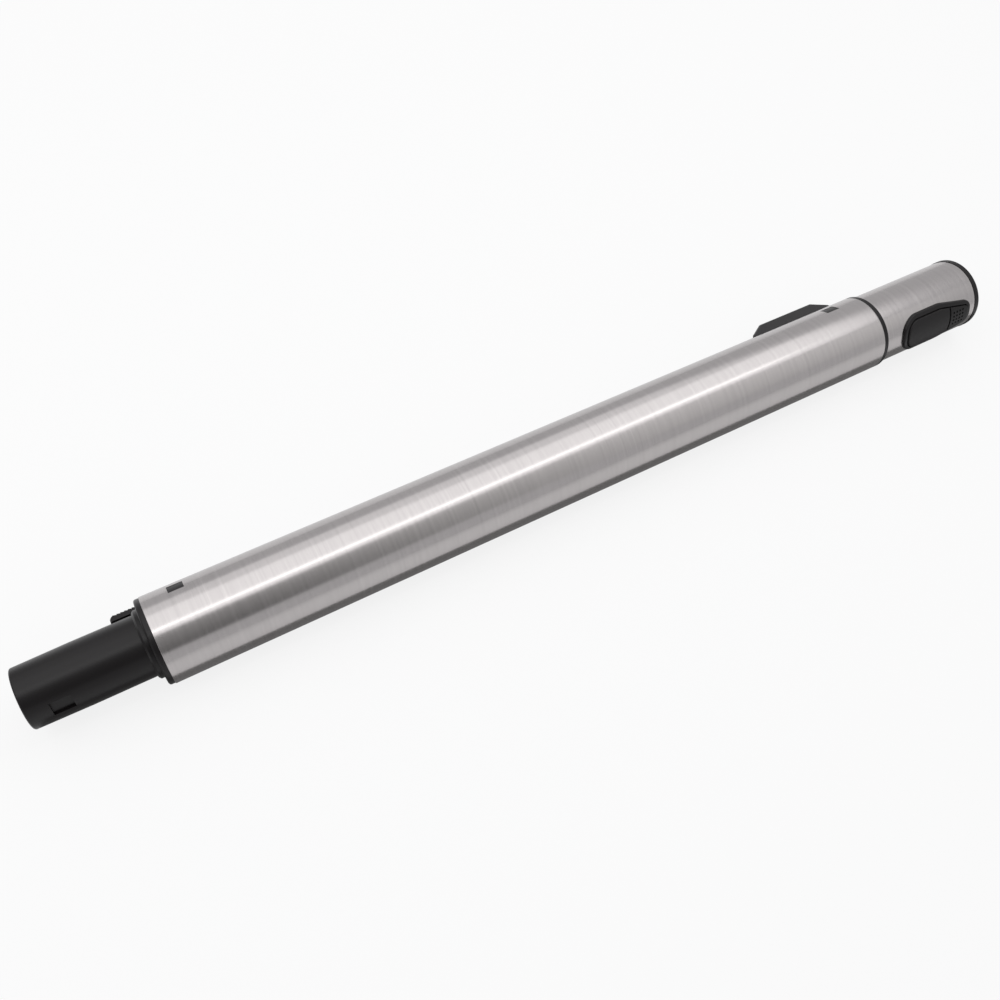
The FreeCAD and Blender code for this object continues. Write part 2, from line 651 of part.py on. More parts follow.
def make_slider_base():
    x0 = BOLT_X - BASE_BEFORE_BOLT
    x1 = BOLT_X + BASE_AFTER_BOLT
    plate = block(x0, x1, BASE_WIDTH, 0, BASE_TOP)
    inside = SLIDE_LEG_SPACING / 2 - RUN_CLEARANCE
    trench = side_pair(
        BOLT_X - leg_reach() - RUN_CLEARANCE,
        BOLT_X + leg_end() + SLIDE_TRAVEL + RUN_CLEARANCE,
        inside,
        SLIDE_LEG_WIDTH + 2 * RUN_CLEARANCE,
        LEG_BOTTOM - RUN_CLEARANCE,
        BASE_TOP + CUT,
    )
    plate = plate.cut(trench)
    near = BOLT_LENGTH / 2 + BOLT_CLEARANCE
    far = near + POST_THICKNESS
    for a, b in ((-far, -near), (near, far)):
        plate = plate.fuse(block(BOLT_X + a, BOLT_X + b, POST_WIDTH, 0, BASE_TOP + POST_HEIGHT))
    seat_x = BOLT_X + SLIDE_LUG_AT + SLIDE_LUG_THICKNESS + SLIDE_SPRING_LENGTH
    seat_top = BASE_TOP + SPRING_SEAT_HEIGHT
    plate = plate.fuse(block(seat_x, seat_x + POST_THICKNESS, SPRING_SEAT_WIDTH, 0, seat_top))
    plate = plate.cut(block(BOLT_X - near, BOLT_X + near, BOLT_WIDTH + 2 * BOLT_CLEARANCE, 0, COVER_TOP))
    base = plate.cut(rod(OUTER_R + SEAT_CLEARANCE, x0 - CUT, x1 + CUT))
    for side in (-1, 1):
        base = base.fuse(hook(side))
    return base.removeSplitter()


def hook(side):
    """Hook through the tube's wall, with its toe turned away from the bolt."""
    x = BOLT_X + side * HOOK_SPACING
    half = HOOK_LENGTH / 2
    toe_bottom = OUTER_BORE_R - HOOK_DEPTH
    stem = block(x - half, x + half, HOOK_WIDTH, toe_bottom, BASE_TOP)
    edge = x + side * half
    toe_end = edge + side * HOOK_TOE
    toe = block(min(edge, toe_end), max(edge, toe_end), HOOK_WIDTH, toe_bottom, OUTER_R)
    toe = toe.common(rod(OUTER_BORE_R - SEAT_CLEARANCE, x - CUT, x + CUT))
    return stem.fuse(toe)


def cover_outline(inset):
    """Side outline of the slider cover, or of its hollow at this wall."""
    x0 = BOLT_X - COVER_BEFORE_BOLT + inset
    x1 = BOLT_X + COVER_AFTER_BOLT - inset
    top = COVER_TOP - inset
    shoulder = OUTER_R + COVER_END_HEIGHT - inset / 2
    lean = inset / 2
    return [
        (x0, 0),
        (x0, shoulder),
        (x0 - lean + COVER_REAR_SLOPE, top),
        (x1 + lean - COVER_FRONT_SLOPE, top),
        (x1, shoulder),
        (x1, 0),
    ]


def make_slider_cover():
    half = COVER_TOP_WIDTH / 2
    foot = half + COVER_DRAFT
    x0 = BOLT_X - COVER_BEFORE_BOLT
    x1 = BOLT_X + COVER_AFTER_BOLT
    sides = section([(-foot, 0), (-half, COVER_TOP), (half, COVER_TOP), (foot, 0)], x0, x1)
    shell = profile(cover_outline(0), 2 * foot).common(sides)
    crown = [e for e in shell.Edges if e.BoundBox.ZMin > OUTER_R + COVER_END_HEIGHT - EDGE_TOLERANCE]
    shell = shell.makeFillet(COVER_ROUND, crown)
    hollow = profile(cover_outline(COVER_WALL), BASE_WIDTH + 2 * RUN_CLEARANCE)
    shell = shell.cut(hollow).cut(rod(OUTER_R + SEAT_CLEARANCE, x0 - CUT, x1 + CUT))
    slot = oval(
        BOLT_X - SLIDE_PAD_BEFORE - PAD_CLEARANCE,
        BOLT_X + SLIDE_PAD_AFTER + SLIDE_TRAVEL + PAD_CLEARANCE,
        SLIDE_PAD_WIDTH + 2 * PAD_CLEARANCE,
        SLIDE_PAD_ROUND + PAD_CLEARANCE,
        SLIDE_TOP,
        COVER_TOP + CUT,
    )
    return shell.cut(slot)


def leg_reach():
    """How far the cam legs run before the bolt: the slide's travel, the slot's end and a margin."""
    return SLIDE_TRAVEL + PIN_RADIUS + SLIDE_CLEARANCE + SLIDE_LEG_MARGIN


def leg_end():
    return PIN_RADIUS + SLIDE_CLEARANCE + SLIDE_LEG_MARGIN


def make_length_slider():
    plate = block(
        BOLT_X - SLIDE_PLATE_BEFORE,
        BOLT_X + SLIDE_PLATE_AFTER,
        SLIDE_PLATE_WIDTH,
        SLIDE_PLATE_Z,
        SLIDE_TOP,
    )
    pad_top = COVER_TOP + SLIDE_PAD_RISE
    pad = oval(
        BOLT_X - SLIDE_PAD_BEFORE,
        BOLT_X + SLIDE_PAD_AFTER,
        SLIDE_PAD_WIDTH,
        SLIDE_PAD_ROUND,
        SLIDE_PLATE_Z,
        pad_top,
    )
    for i in range(SLIDE_RIDGE_COUNT):
        x = BOLT_X + (i - (SLIDE_RIDGE_COUNT - 1) / 2) * SLIDE_RIDGE_PITCH
        half = SLIDE_GROOVE_WIDTH / 2
        gap = [(x - half, pad_top), (x + half, pad_top), (x, pad_top - SLIDE_GROOVE_DEPTH)]
        pad = pad.cut(profile(gap, SLIDE_PAD_WIDTH))
    legs = side_pair(
        BOLT_X - leg_reach(),
        BOLT_X + leg_end(),
        SLIDE_LEG_SPACING / 2,
        SLIDE_LEG_WIDTH,
        LEG_BOTTOM,
        SLIDE_TOP,
    )
    lug_x = BOLT_X + SLIDE_LUG_AT
    lug = block(
        lug_x,
        lug_x + SLIDE_LUG_THICKNESS,
        SLIDE_LUG_WIDTH,
        SLIDE_PLATE_Z - SLIDE_LUG_DROP,
        SLIDE_TOP,
    )
    slide = plate.fuse(pad).fuse(legs).fuse(lug)
    bolt_room = block(
        BOLT_X - BOLT_LENGTH / 2 - SLIDE_TRAVEL - LOOSE_CLEARANCE,
        BOLT_X + BOLT_LENGTH / 2 + LOOSE_CLEARANCE,
        BOLT_WIDTH + 2 * RUN_CLEARANCE,
        LEG_BOTTOM,
        BOLT_TOP + BOLT_LIFT + LOOSE_CLEARANCE,
    )
    cam = slot_across(
        BOLT_X,
        PIN_Z,
        BOLT_X - SLIDE_TRAVEL,
        PIN_Z + BOLT_LIFT,
        PIN_RADIUS + SLIDE_CLEARANCE,
        SLIDE_PLATE_WIDTH,
    )
    return slide.cut(bolt_room).cut(cam).removeSplitter()


def make_lock_bolt():
    body = block(BOLT_X - BOLT_LENGTH / 2, BOLT_X + BOLT_LENGTH / 2, BOLT_WIDTH, BOLT_TIP, BOLT_TOP)
    return body.cut(pin(PIN_RADIUS + SEAT_CLEARANCE, BOLT_X, PIN_Z, PIN_LENGTH))


def make_lock_cross_pin():
    return pin(PIN_RADIUS, BOLT_X, PIN_Z, PIN_LENGTH)


def make_slider_spring():
    spring = coil(SLIDE_SPRING_RADIUS, SLIDE_SPRING_TURNS, SLIDE_SPRING_LENGTH - 2 * SPRING_WIRE)
    spring.rotate(CENTRE, Y_AXIS, 90)
    seat = BOLT_X + SLIDE_LUG_AT + SLIDE_LUG_THICKNESS
    spring.translate(FreeCAD.Vector(seat + SPRING_WIRE, 0, SLIDE_SPRING_Z))
    return spring


def make_socket_liner():
    stop = MOUTH_X - SOCKET_DEPTH
    step = MOUTH_X - SOCKET_MOUTH_BEVEL - SOCKET_MOUTH_LENGTH
    rear = stop - SOCKET_STOP_LENGTH - SOCKET_REAR_LENGTH
    sleeve_start = BEZEL_X0 - SOCKET_FLANGE_TO_BEZEL
    front_ring = BEZEL_X1 + SNAP_CLEARANCE
    rim = INNER_R + END_RING_PROUD
    body = revolved([
        (rear, LINER_R - SOCKET_WALL),
        (rear, LINER_R),
        (sleeve_start, LINER_R),
        (sleeve_start, SLEEVE_R),
        (front_ring, SLEEVE_R),
        (front_ring, LINER_R),
        (INNER_END, LINER_R),
        (INNER_END, rim),
        (MOUTH_X, rim),
        (MOUTH_X, SOCKET_R + SOCKET_MOUTH_BEVEL),
        (MOUTH_X - SOCKET_MOUTH_BEVEL, SOCKET_R),
        (step, SOCKET_R),
        (step, SOCKET_INNER_R),
        (stop, SOCKET_INNER_R),
        (stop, SOCKET_STOP_BORE / 2),
        (stop - SOCKET_STOP_LENGTH, SOCKET_STOP_BORE / 2),
    ])
    body = rim_rounded(body, MOUTH_X, rim, END_RING_ROUND)
    room = INNER_WALL + SNAP_CLEARANCE
    body = body.cut(channel(room, rear - CUT, CHANNEL_END + room))
    half = CATCH_LENGTH / 2 + CATCH_ROOM
    window = block(CATCH_X - half, CATCH_X + half, CATCH_WIDTH + 2 * CATCH_ROOM, 0, INNER_R)
    ears = side_pair(
        ROCKER_PIVOT_X - ROCKER_EAR_LENGTH / 2,
        ROCKER_PIVOT_X + ROCKER_EAR_LENGTH / 2,
        ROCKER_HUB_WIDTH / 2 + RUN_CLEARANCE,
        ROCKER_EAR_WIDTH,
        SOCKET_R,
        ROCKER_PIVOT_Z + ROCKER_HUB_RADIUS,
    )
    ears = ears.common(ring(INNER_R, SLEEVE_R - SOCKET_WALL / 2, BEZEL_X0, BEZEL_X1))
    pivot = pin(ROCKER_PIN_RADIUS + SEAT_CLEARANCE, ROCKER_PIVOT_X, ROCKER_PIVOT_Z, ROCKER_PIN_LENGTH + CUT)
    body = body.cut(turned(window, ROCKER_SIDE)).fuse(turned(ears, ROCKER_SIDE))
    return body.cut(turned(pivot, ROCKER_SIDE)).removeSplitter()


def bezel_post(inset, z0, z1):
    """Upright post with the bezel's outline, which narrows towards the mouth, drawn in by this inset."""
    slope = (BEZEL_WIDTH - BEZEL_NOSE_WIDTH) / (2 * BEZEL_TAPER)
    slant = math.hypot(1, slope)
    heel = BEZEL_X0 + inset
    shoulder = BEZEL_X1 - BEZEL_TAPER - inset * slope / (slant + 1)
    nose = BEZEL_X1 - inset
    wide = BEZEL_WIDTH / 2 - inset
    narrow = BEZEL_NOSE_WIDTH / 2 - inset * (slant - slope)
    half = [(heel, wide), (shoulder, wide), (nose, narrow)]
    corners = [FreeCAD.Vector(x, y, z0) for x, y in half]
    corners += [FreeCAD.Vector(x, -y, z0) for x, y in reversed(half)]
    post = Part.Face(Part.makePolygon(corners + corners[:1])).extrude(FreeCAD.Vector(0, 0, z1 - z0))
    for x, radius in ((heel, BEZEL_CORNER), (shoulder, BEZEL_SHOULDER), (nose, BEZEL_NOSE_CORNER)):
        edges = [e for e in upright_edges(post) if abs(e.CenterOfMass.x - x) < EDGE_TOLERANCE]
        post = post.makeFillet(radius - inset, edges)
    return post


def crown_rounded(cap, radius, fillet):
    """Rounds the outline of a cap whose top lies at this radius from the axis."""
    top = radius - EDGE_TOLERANCE
    crown = [e for e in cap.Edges if min(math.hypot(v.Y, v.Z) for v in e.Vertexes) > top]
    return cap.makeFillet(fillet, crown)


def make_rocker_bezel():
    high = INNER_R + CUT
    lip = bezel_post(0, 0, high).common(
        ring(INNER_R + BEZEL_PROUD, INNER_R + SEAT_CLEARANCE, BEZEL_X0, BEZEL_X1)
    )
    lip = crown_rounded(lip, INNER_R + BEZEL_PROUD, BEZEL_ROUND)
    skirt = bezel_post(BEZEL_LIP, 0, high).common(
        ring(INNER_R + BEZEL_PROUD / 2, INNER_R - BEZEL_SKIRT_DEPTH, BEZEL_X0, BEZEL_X1)
    )
    frame = lip.fuse(skirt).cut(bezel_post(BEZEL_FRAME, 0, high))
    return turned(frame.removeSplitter(), ROCKER_SIDE)


def make_release_rocker():
    high = INNER_R + CUT
    edge = BEZEL_FRAME + LOOSE_CLEARANCE
    x0 = BEZEL_X0 + edge
    x1 = BEZEL_X1 - edge
    body = bezel_post(edge, 0, high).common(ring(ROCKER_TOP_R, INNER_R - ROCKER_SKIRT_DEPTH, x0, x1))
    body = crown_rounded(body, ROCKER_TOP_R, ROCKER_ROUND)
    pocket = bezel_post(edge + ROCKER_SKIRT, 0, high).common(rod(ROCKER_UNDER_R, x0, x1))
    body = body.cut(pocket)
    groove_x = x1 - ROCKER_GROOVE_FROM_END
    groove = ring(
        ROCKER_TOP_R + CUT,
        ROCKER_TOP_R - ROCKER_GROOVE_DEPTH,
        groove_x,
        groove_x + ROCKER_GROOVE_WIDTH,
    )
    body = body.cut(groove)
    first = groove_x + ROCKER_GROOVE_WIDTH + GRIP_PITCH
    for column in range(GRIP_COLUMNS):
        for row in range(GRIP_ROWS):
            turn = math.degrees((row - (GRIP_ROWS - 1) / 2) * GRIP_PITCH / ROCKER_TOP_R)
            foot = FreeCAD.Vector(first + column * GRIP_PITCH, 0, ROCKER_TOP_R - GRIP_PIT_DEPTH)
            pit = Part.makeCylinder(GRIP_PIT_RADIUS, CUT, foot, Z_AXIS)
            body = body.cut(turned(pit, turn))
    hub = block(
        ROCKER_PIVOT_X - ROCKER_HUB_RADIUS,
        ROCKER_PIVOT_X + ROCKER_HUB_RADIUS,
        ROCKER_HUB_WIDTH,
        ROCKER_PIVOT_Z,
        ROCKER_UNDER_R + ROCKER_SHELL / 2,
    )
    hub = hub.fuse(pin(ROCKER_HUB_RADIUS, ROCKER_PIVOT_X, ROCKER_PIVOT_Z, ROCKER_HUB_WIDTH))
    tip = SOCKET_INNER_R - CATCH_BITE
    back = CATCH_X - CATCH_LENGTH / 2
    front = CATCH_X + CATCH_LENGTH / 2
    catch = profile([
        (back, tip),
        (front - CATCH_RAMP, tip),
        (front, tip + CATCH_RAMP),
        (front, ROCKER_UNDER_R + ROCKER_SHELL / 2),
        (back, ROCKER_UNDER_R + ROCKER_SHELL / 2),
    ], CATCH_WIDTH)
    body = body.fuse(hub).fuse(catch)
    bore = pin(ROCKER_PIN_RADIUS + SEAT_CLEARANCE, ROCKER_PIVOT_X, ROCKER_PIVOT_Z, ROCKER_PIN_LENGTH)
    return turned(body.cut(bore).removeSplitter(), ROCKER_SIDE)


def make_rocker_pin():
    return turned(pin(ROCKER_PIN_RADIUS, ROCKER_PIVOT_X, ROCKER_PIVOT_Z, ROCKER_PIN_LENGTH), ROCKER_SIDE)


def make_rocker_spring():
    spring = coil_between(
        ROCKER_SPRING_X,
        SLEEVE_R + SEAT_CLEARANCE,
        ROCKER_UNDER_R - SNAP_CLEARANCE,
        ROCKER_SPRING_RADIUS,
        ROCKER_SPRING_TURNS,
    )
    return turned(spring, ROCKER_SIDE)


PIECES = {
    "outer_tube": make_outer_tube,
    "spigot_insert": make_spigot_insert,
    "collar_ring": make_collar_ring,
    "nozzle_latch": make_nozzle_latch,
    "latch_pin": make_latch_pin,
    "latch_spring": make_latch_spring,
    "upper_bush": make_upper_bush,
    "slider_base": make_slider_base,
    "slider_cover": make_slider_cover,
    "length_slider": make_length_slider,
    "slider_spring": make_slider_spring,
    "lock_bolt": make_lock_bolt,
    "lock_cross_pin": make_lock_cross_pin,
    "inner_tube": make_inner_tube,
    "glide_sleeve": make_glide_sleeve,
    "seal_ring": make_seal_ring,
    "socket_liner": make_socket_liner,
    "rocker_bezel": make_rocker_bezel,
    "release_rocker": make_release_rocker,
    "rocker_pin": make_rocker_pin,
    "rocker_spring": make_rocker_spring,
}

os.makedirs("parts", exist_ok=True)
for name, make in PIECES.items():
    turned(make(), resting_angle()).exportStep(f"parts/{name}.step")
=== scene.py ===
import json
import math

import bmesh
import bpy
from bpy.props import FloatProperty, FloatVectorProperty, IntProperty, PointerProperty
from mathutils import Matrix, Quaternion, Vector


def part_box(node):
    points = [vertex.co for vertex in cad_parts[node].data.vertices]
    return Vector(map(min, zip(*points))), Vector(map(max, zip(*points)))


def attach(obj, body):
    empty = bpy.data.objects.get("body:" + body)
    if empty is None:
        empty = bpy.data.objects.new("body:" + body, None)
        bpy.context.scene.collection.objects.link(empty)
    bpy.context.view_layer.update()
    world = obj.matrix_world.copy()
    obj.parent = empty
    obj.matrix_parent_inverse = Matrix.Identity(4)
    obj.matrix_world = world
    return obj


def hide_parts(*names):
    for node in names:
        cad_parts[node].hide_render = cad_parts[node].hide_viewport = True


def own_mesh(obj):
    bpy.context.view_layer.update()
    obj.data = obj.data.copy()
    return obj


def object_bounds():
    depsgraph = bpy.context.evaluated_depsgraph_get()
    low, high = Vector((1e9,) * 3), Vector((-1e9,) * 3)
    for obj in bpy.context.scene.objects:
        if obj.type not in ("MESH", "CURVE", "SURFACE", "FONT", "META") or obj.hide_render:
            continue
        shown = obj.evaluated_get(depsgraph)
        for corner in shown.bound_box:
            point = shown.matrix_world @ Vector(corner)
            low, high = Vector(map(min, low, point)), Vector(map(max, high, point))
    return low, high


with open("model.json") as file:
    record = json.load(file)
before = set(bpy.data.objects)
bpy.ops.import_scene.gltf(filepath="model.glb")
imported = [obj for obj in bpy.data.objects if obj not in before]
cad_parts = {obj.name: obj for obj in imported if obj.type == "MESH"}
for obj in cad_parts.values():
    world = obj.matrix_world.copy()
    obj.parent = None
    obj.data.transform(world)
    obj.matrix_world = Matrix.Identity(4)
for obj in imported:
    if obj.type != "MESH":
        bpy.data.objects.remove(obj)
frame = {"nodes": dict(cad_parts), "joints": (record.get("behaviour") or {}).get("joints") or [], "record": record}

bl_info = {
    "name": "Telescopic wand",
    "version": (1, 0, 0),
    "blender": (4, 5, 0),
    "location": "View3D > Sidebar > Wand",
    "description": "Dresses the solids of a telescopic wand and sets its studio stage",
    "category": "Object",
}

CAD_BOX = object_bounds()
JOINTS = {joint["name"]: joint for joint in frame["joints"]}
BODY_OF = {node: body for body, nodes in frame["record"]["behaviour"]["bodies"].items() for node in nodes}
SLOT_OF = {part["node"]: part["material_slot"] for part in frame["record"]["subparts"]}

MM = 0.001
TOLERANCE = 0.001 * MM
OVERSHOOT = 4 * MM  # how far a cutter reaches past the wall that it cuts
SMOOTH_BELOW = math.radians(30)
RIM_SEGMENTS = 3
CORNER_SEGMENTS = 10
FLOOR_SEGMENTS = 96
MEAN_NOISE = 0.5
WHITE = (1, 1, 1, 1)

# Specks per metre in each moulded finish, and how deep they are
GRAIN = {
    "black_plastic": (5200, 0.008 * MM),
    "black_grip": (3400, 0.020 * MM),
    "natural_acetal": (2500, 0.004 * MM),
    "seal_rubber": (2200, 0.010 * MM),
}
# Lines per metre across each drawn or ground metal, which are longer along the wand
DRAWN_LINES = {"spring_steel": 4000, "bright_steel": 6000}
DRAWN_STRETCH = 20

# The wand is drawn with its slider on top and laid down about its own axis, as the bolt's path shows
AXIS = Vector((1, 0, 0))
BOLT_PATH = Vector(JOINTS["bolt_lift"]["axis"])
LAID_DOWN = Matrix.Rotation(math.atan2(-BOLT_PATH.y, BOLT_PATH.z), 4, "X")
ROCKER_SIDE = math.pi  # turn of the rocker from the slider


def reach(node):
    """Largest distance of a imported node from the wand's axis."""
    return max(math.hypot(v.co.y, v.co.z) for v in frame["nodes"][node].data.vertices)


def stations(node):
    """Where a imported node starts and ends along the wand."""
    low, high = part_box(node)
    return low.x, high.x


TUBE_START, TUBE_END = stations("outer_tube")
TUBE_RADIUS = reach("outer_tube")
INNER_START, INNER_END = stations("inner_tube")
INNER_RADIUS = reach("inner_tube")
BEZEL_START, BEZEL_END = stations("rocker_bezel")
BOLT_AT = sum(stations("lock_bolt")) / 2
EXTENSION = JOINTS["tube_extend"]["range_m"][1]


def length(default, label, text):
    return FloatProperty(name=label, description=text, default=default, unit="LENGTH", precision=5)


def colour(default, label, text):
    return FloatVectorProperty(
        name=label, description=text, default=default, subtype="COLOR", size=3, min=0, max=1
    )


def share(default, label, text):
    return FloatProperty(name=label, description=text, default=default, min=0, max=1, subtype="FACTOR")


def angle(degrees, label, text):
    return FloatProperty(name=label, description=text, default=math.radians(degrees), subtype="ANGLE")


def marks(default, label, text):
    """How often a mark of a finish repeats in a metre along, across and up the wand."""
    return FloatVectorProperty(name=label, description=text, default=default, subtype="XYZ", size=3, min=0)


def brightness(default, label, text):
    return FloatProperty(name=label, description=text, default=default, min=0)


class WandTubes(bpy.types.PropertyGroup):
    wall: length(0.6 * MM, "Wall", "Wall of both steel tubes")
    rim: length(0.18 * MM, "Rim", "Rounding of a tube's cut ends")
    guard: length(0.72 * MM, "Guard", "From a cut end to the loop that keeps the tube's shading straight")
    segments: IntProperty(name="Segments", description="Facets round a tube", default=192, min=32)
    window_angle: angle(78, "Window angle", "Turn of the snap windows from the slider")
    window_width: length(6.6 * MM, "Window width", "Width of a snap window round the tube")
    lower_window: length(8.0 * MM, "Lower window", "Length of the snap windows at the nozzle end")
    lower_window_from_end: length(13.5 * MM, "Lower inset", "From the tube's nozzle end to its windows")
    upper_window: length(9.0 * MM, "Upper window", "Length of the snap windows at the hose end")
    upper_window_from_end: length(16.0 * MM, "Upper inset", "From the tube's hose end to its windows")
    bolt_slot: length(6.4 * MM, "Bolt slot", "Length of the slot that the lock bolt drops through")
    bolt_slot_width: length(7.4 * MM, "Bolt slot width", "Width of the slot for the lock bolt")
    hook_slot: length(4.3 * MM, "Hook slot", "Length of a slot for a hook of the slider's base")
    hook_slot_width: length(8.3 * MM, "Hook slot width", "Width of a slot for a hook")
    hook_spacing: length(14.0 * MM, "Hook spacing", "From the bolt to each hook slot")
    channel_depth: length(2.4 * MM, "Channel depth", "Depth of the guide channel in the inner tube")
    channel_floor: length(10.0 * MM, "Channel floor", "Width of the guide channel at its floor")
    channel_mouth: length(13.0 * MM, "Channel mouth", "Width of the guide channel at the surface")
    channel_past_tube: length(9.0 * MM, "Channel end", "How far the guide channel shows past the outer tube")
    notch_pitch: length(27.0 * MM, "Notch pitch", "From one lock notch to the next")
    notch: length(6.6 * MM, "Notch", "Length of a lock notch")
    notch_width: length(7.6 * MM, "Notch width", "Width of a lock notch")
    hole_inset: length(1.05 * MM, "Hole inset", "How far the bezel covers the edge of the rocker's hole")
    hole_heel: length(11.0 * MM, "Hole heel", "Corner radius of the bezel at its wide end")
    hole_shoulder: length(24.0 * MM, "Hole shoulder", "Corner radius where the bezel starts to narrow")
    hole_nose: length(5.5 * MM, "Hole nose", "Corner radius of the bezel at its narrow end")
    hole_width: length(24.0 * MM, "Hole width", "Width of the bezel at its wide end")
    hole_nose_width: length(14.0 * MM, "Hole nose width", "Width of the bezel at its narrow end")
    hole_taper: length(25.0 * MM, "Hole taper", "Length over which the bezel narrows")


class WandFinish(bpy.types.PropertyGroup):
    steel: colour((0.515, 0.490, 0.486), "Steel", "Colour of the brushed stainless tubes")
    steel_roughness: share(0.20, "Steel roughness", "Mean roughness of the brushed tubes")
    brush_lines: marks((2600, 14, 14), "Brush lines", "Fine brush marks, which run round the tubes")
    brush_bands: marks((520, 9, 9), "Brush bands", "Broad brush marks")
    brush_depth: length(0.009 * MM, "Brush depth", "Depth of the brush marks")
    brush_swing: share(0.12, "Brush swing", "How much the brush marks change the roughness")
    cloud: marks((12, 24, 24), "Cloud", "Soft clouds in the sheen of the tubes")
    cloud_swing: share(0.05, "Cloud swing", "How much the clouds change the roughness")
    plastic: colour((0.0066, 0.0053, 0.0057), "Plastic", "Colour of the black moulded pieces")
    plastic_roughness: share(0.32, "Plastic roughness", "Mean roughness of the moulded pieces")
    grip: colour((0.0058, 0.0046, 0.0050), "Grip", "Colour of the pieces that a finger presses")
    grip_roughness: share(0.46, "Grip roughness", "Mean roughness of the pressed pieces")
    gloss: share(0.31, "Gloss", "Strength of the plain reflection on black pieces")
    flow: marks((14, 60, 60), "Flow", "Flow marks in the moulded pieces")
    flow_swing: share(0.12, "Flow swing", "How much the flow marks change the roughness")
    grain_swing: share(0.14, "Grain swing", "How much the moulded grain changes the roughness")
    acetal: colour((0.78, 0.77, 0.72), "Acetal", "Colour of the glide sleeve")
    acetal_roughness: share(0.34, "Acetal roughness", "Mean roughness of the glide sleeve")
    acetal_gloss: share(0.5, "Acetal gloss", "Strength of the plain reflection on the glide sleeve")
    rubber: colour((0.012, 0.012, 0.012), "Rubber", "Colour of the lip seal")
    rubber_roughness: share(0.7, "Rubber roughness", "Mean roughness of the lip seal")
    wire: colour((0.48, 0.48, 0.49), "Wire", "Colour of the springs")
    wire_roughness: share(0.3, "Wire roughness", "Mean roughness of the springs")
    ground_steel: colour((0.58, 0.58, 0.59), "Ground steel", "Colour of the bolt and the pins")
    ground_roughness: share(0.26, "Ground roughness", "Mean roughness of the bolt and the pins")
    line_swing: share(0.14, "Line swing", "How much drawn or ground lines change the roughness")


class WandStage(bpy.types.PropertyGroup):
    lens: FloatProperty(name="Lens", description="Focal length of the camera", default=36.39, unit="CAMERA")
    sensor: FloatProperty(name="Sensor", description="Width of the sensor", default=36.0, unit="CAMERA")
    clip_start: length(0.01, "Clip start", "Nearest distance that the camera shows")
    distance: length(525.7 * MM, "Distance", "From the camera to the wand's axis, square to it")
    station: length(25.06 * MM, "Station", "Where along the wand the camera stands")
    elevation: angle(61.1, "Elevation", "Angle of the camera above the floor, seen along the wand")
    swing: angle(18.04, "Swing", "Turn of the camera towards the hose end")
    roll: angle(6.03, "Roll", "Turn of the camera about its line of sight")
    drop: FloatProperty(name="Drop", description="How far the lens points below the axis", default=0.00888)
    floor: colour((0.86, 0.86, 0.86), "Floor", "Colour of the floor")
    floor_radius: length(8.0, "Floor radius", "Radius of the round floor")
    floor_glow: share(0.83, "Floor glow", "Share of plain white in what the camera sees of the floor")
    floor_sheen: share(0.15, "Floor sheen", "Share of plain white in what metal and glass show of the floor")
    room: colour((0.52, 0.52, 0.53), "Room", "Colour of the room's even light")
    room_glow: share(0.83, "Room glow", "Share of plain white in what the camera sees of the room")
    room_sheen: share(0.17, "Room sheen", "Share of plain white in what metal and glass show of the room")
    lamp_height: length(0.9, "Lamp height", "Height of the overhead lamps above the wand")
    lamp_left: length(-1.0, "Lamps, left", "Nozzle end of the overhead lamps")
    lamp_right: length(1.22, "Lamps, right", "Hose end of the overhead lamps")
    softbox: brightness(0.86, "Softbox", "Brightness of the overhead softbox")
    softbox_near: length(-0.285, "Softbox, near", "Near edge of the softbox")
    softbox_far: length(0.63, "Softbox, far", "Far edge of the softbox, where the panel starts")
    far_panel: brightness(0.45, "Far panel", "Brightness of the panel behind the softbox")
    far_panel_end: length(1.5, "Far panel end", "Far edge of the panel")
    strip: brightness(1.55, "Strip", "Brightness of the strip under the softbox")
    strip_right: length(1.0, "Strip, right", "Hose end of the bright strip")
    strip_near: length(-0.138, "Strip, near", "Near edge of the bright strip")
    strip_far: length(-0.062, "Strip, far", "Far edge of the bright strip")
    strip_drop: length(0.01, "Strip drop", "How far the bright strip hangs below the softbox")
    card_start: length(-1.2, "Card, start", "Nozzle end of the grey card beside the camera")
    card_end: length(1.4, "Card, end", "Hose end of the grey card")
    card_near: length(-1.0, "Card, near", "Near edge of the grey card, which is its lower one")
    card_low: length(0.45, "Card, low", "Height of the grey card's lower edge")
    card_far: length(-0.33, "Card, far", "Far edge of the grey card, which is its upper one")
    card_high: length(0.93, "Card, high", "Height of the grey card's upper edge")
    card_dark: share(0.15, "Card, dark end", "Brightness of the grey card at its lower nozzle end")
    card_along: share(0.50, "Card, along", "How much lighter the grey card is at the hose end")
    card_up: share(0.25, "Card, up", "How much lighter the grey card is at its upper edge")
    fade_start: length(0.1, "Fade start", "Where the grey card starts to lighten towards the hose end")
    fade_end: length(0.8, "Fade end", "Where the grey card is lightest")
    # Painted shadow: the dark card at the wand's foot is a grey sheet just above the floor that only metal sees,
    # standing in for the wand's shadow on the floor under it
    foot_card: length(0.0445, "Foot card", "How far the dark card at the wand's foot reaches from the axis")
    painted_shadow_lift: length(0.05 * MM, "Foot card lift", "How far the dark card lies above the floor")
    painted_shadow_shade: share(0.19, "Foot card shade", "Brightness of the dark card at the wand's foot")


class Maths:
    """A shader socket that takes part in Python expressions."""

    def __init__(self, tree, socket):
        self.tree = tree
        self.socket = socket

    def join(self, operation, first, second):
        return self.tree.node("ShaderNodeMath", {"operation": operation}, {0: first, 1: second})

    def __add__(self, other):
        return self.join("ADD", self, other)

    def __radd__(self, other):
        return self.join("ADD", other, self)

    def __sub__(self, other):
        return self.join("SUBTRACT", self, other)

    def __rsub__(self, other):
        return self.join("SUBTRACT", other, self)

    def __mul__(self, other):
        return self.join("MULTIPLY", self, other)

    def __rmul__(self, other):
        return self.join("MULTIPLY", other, self)


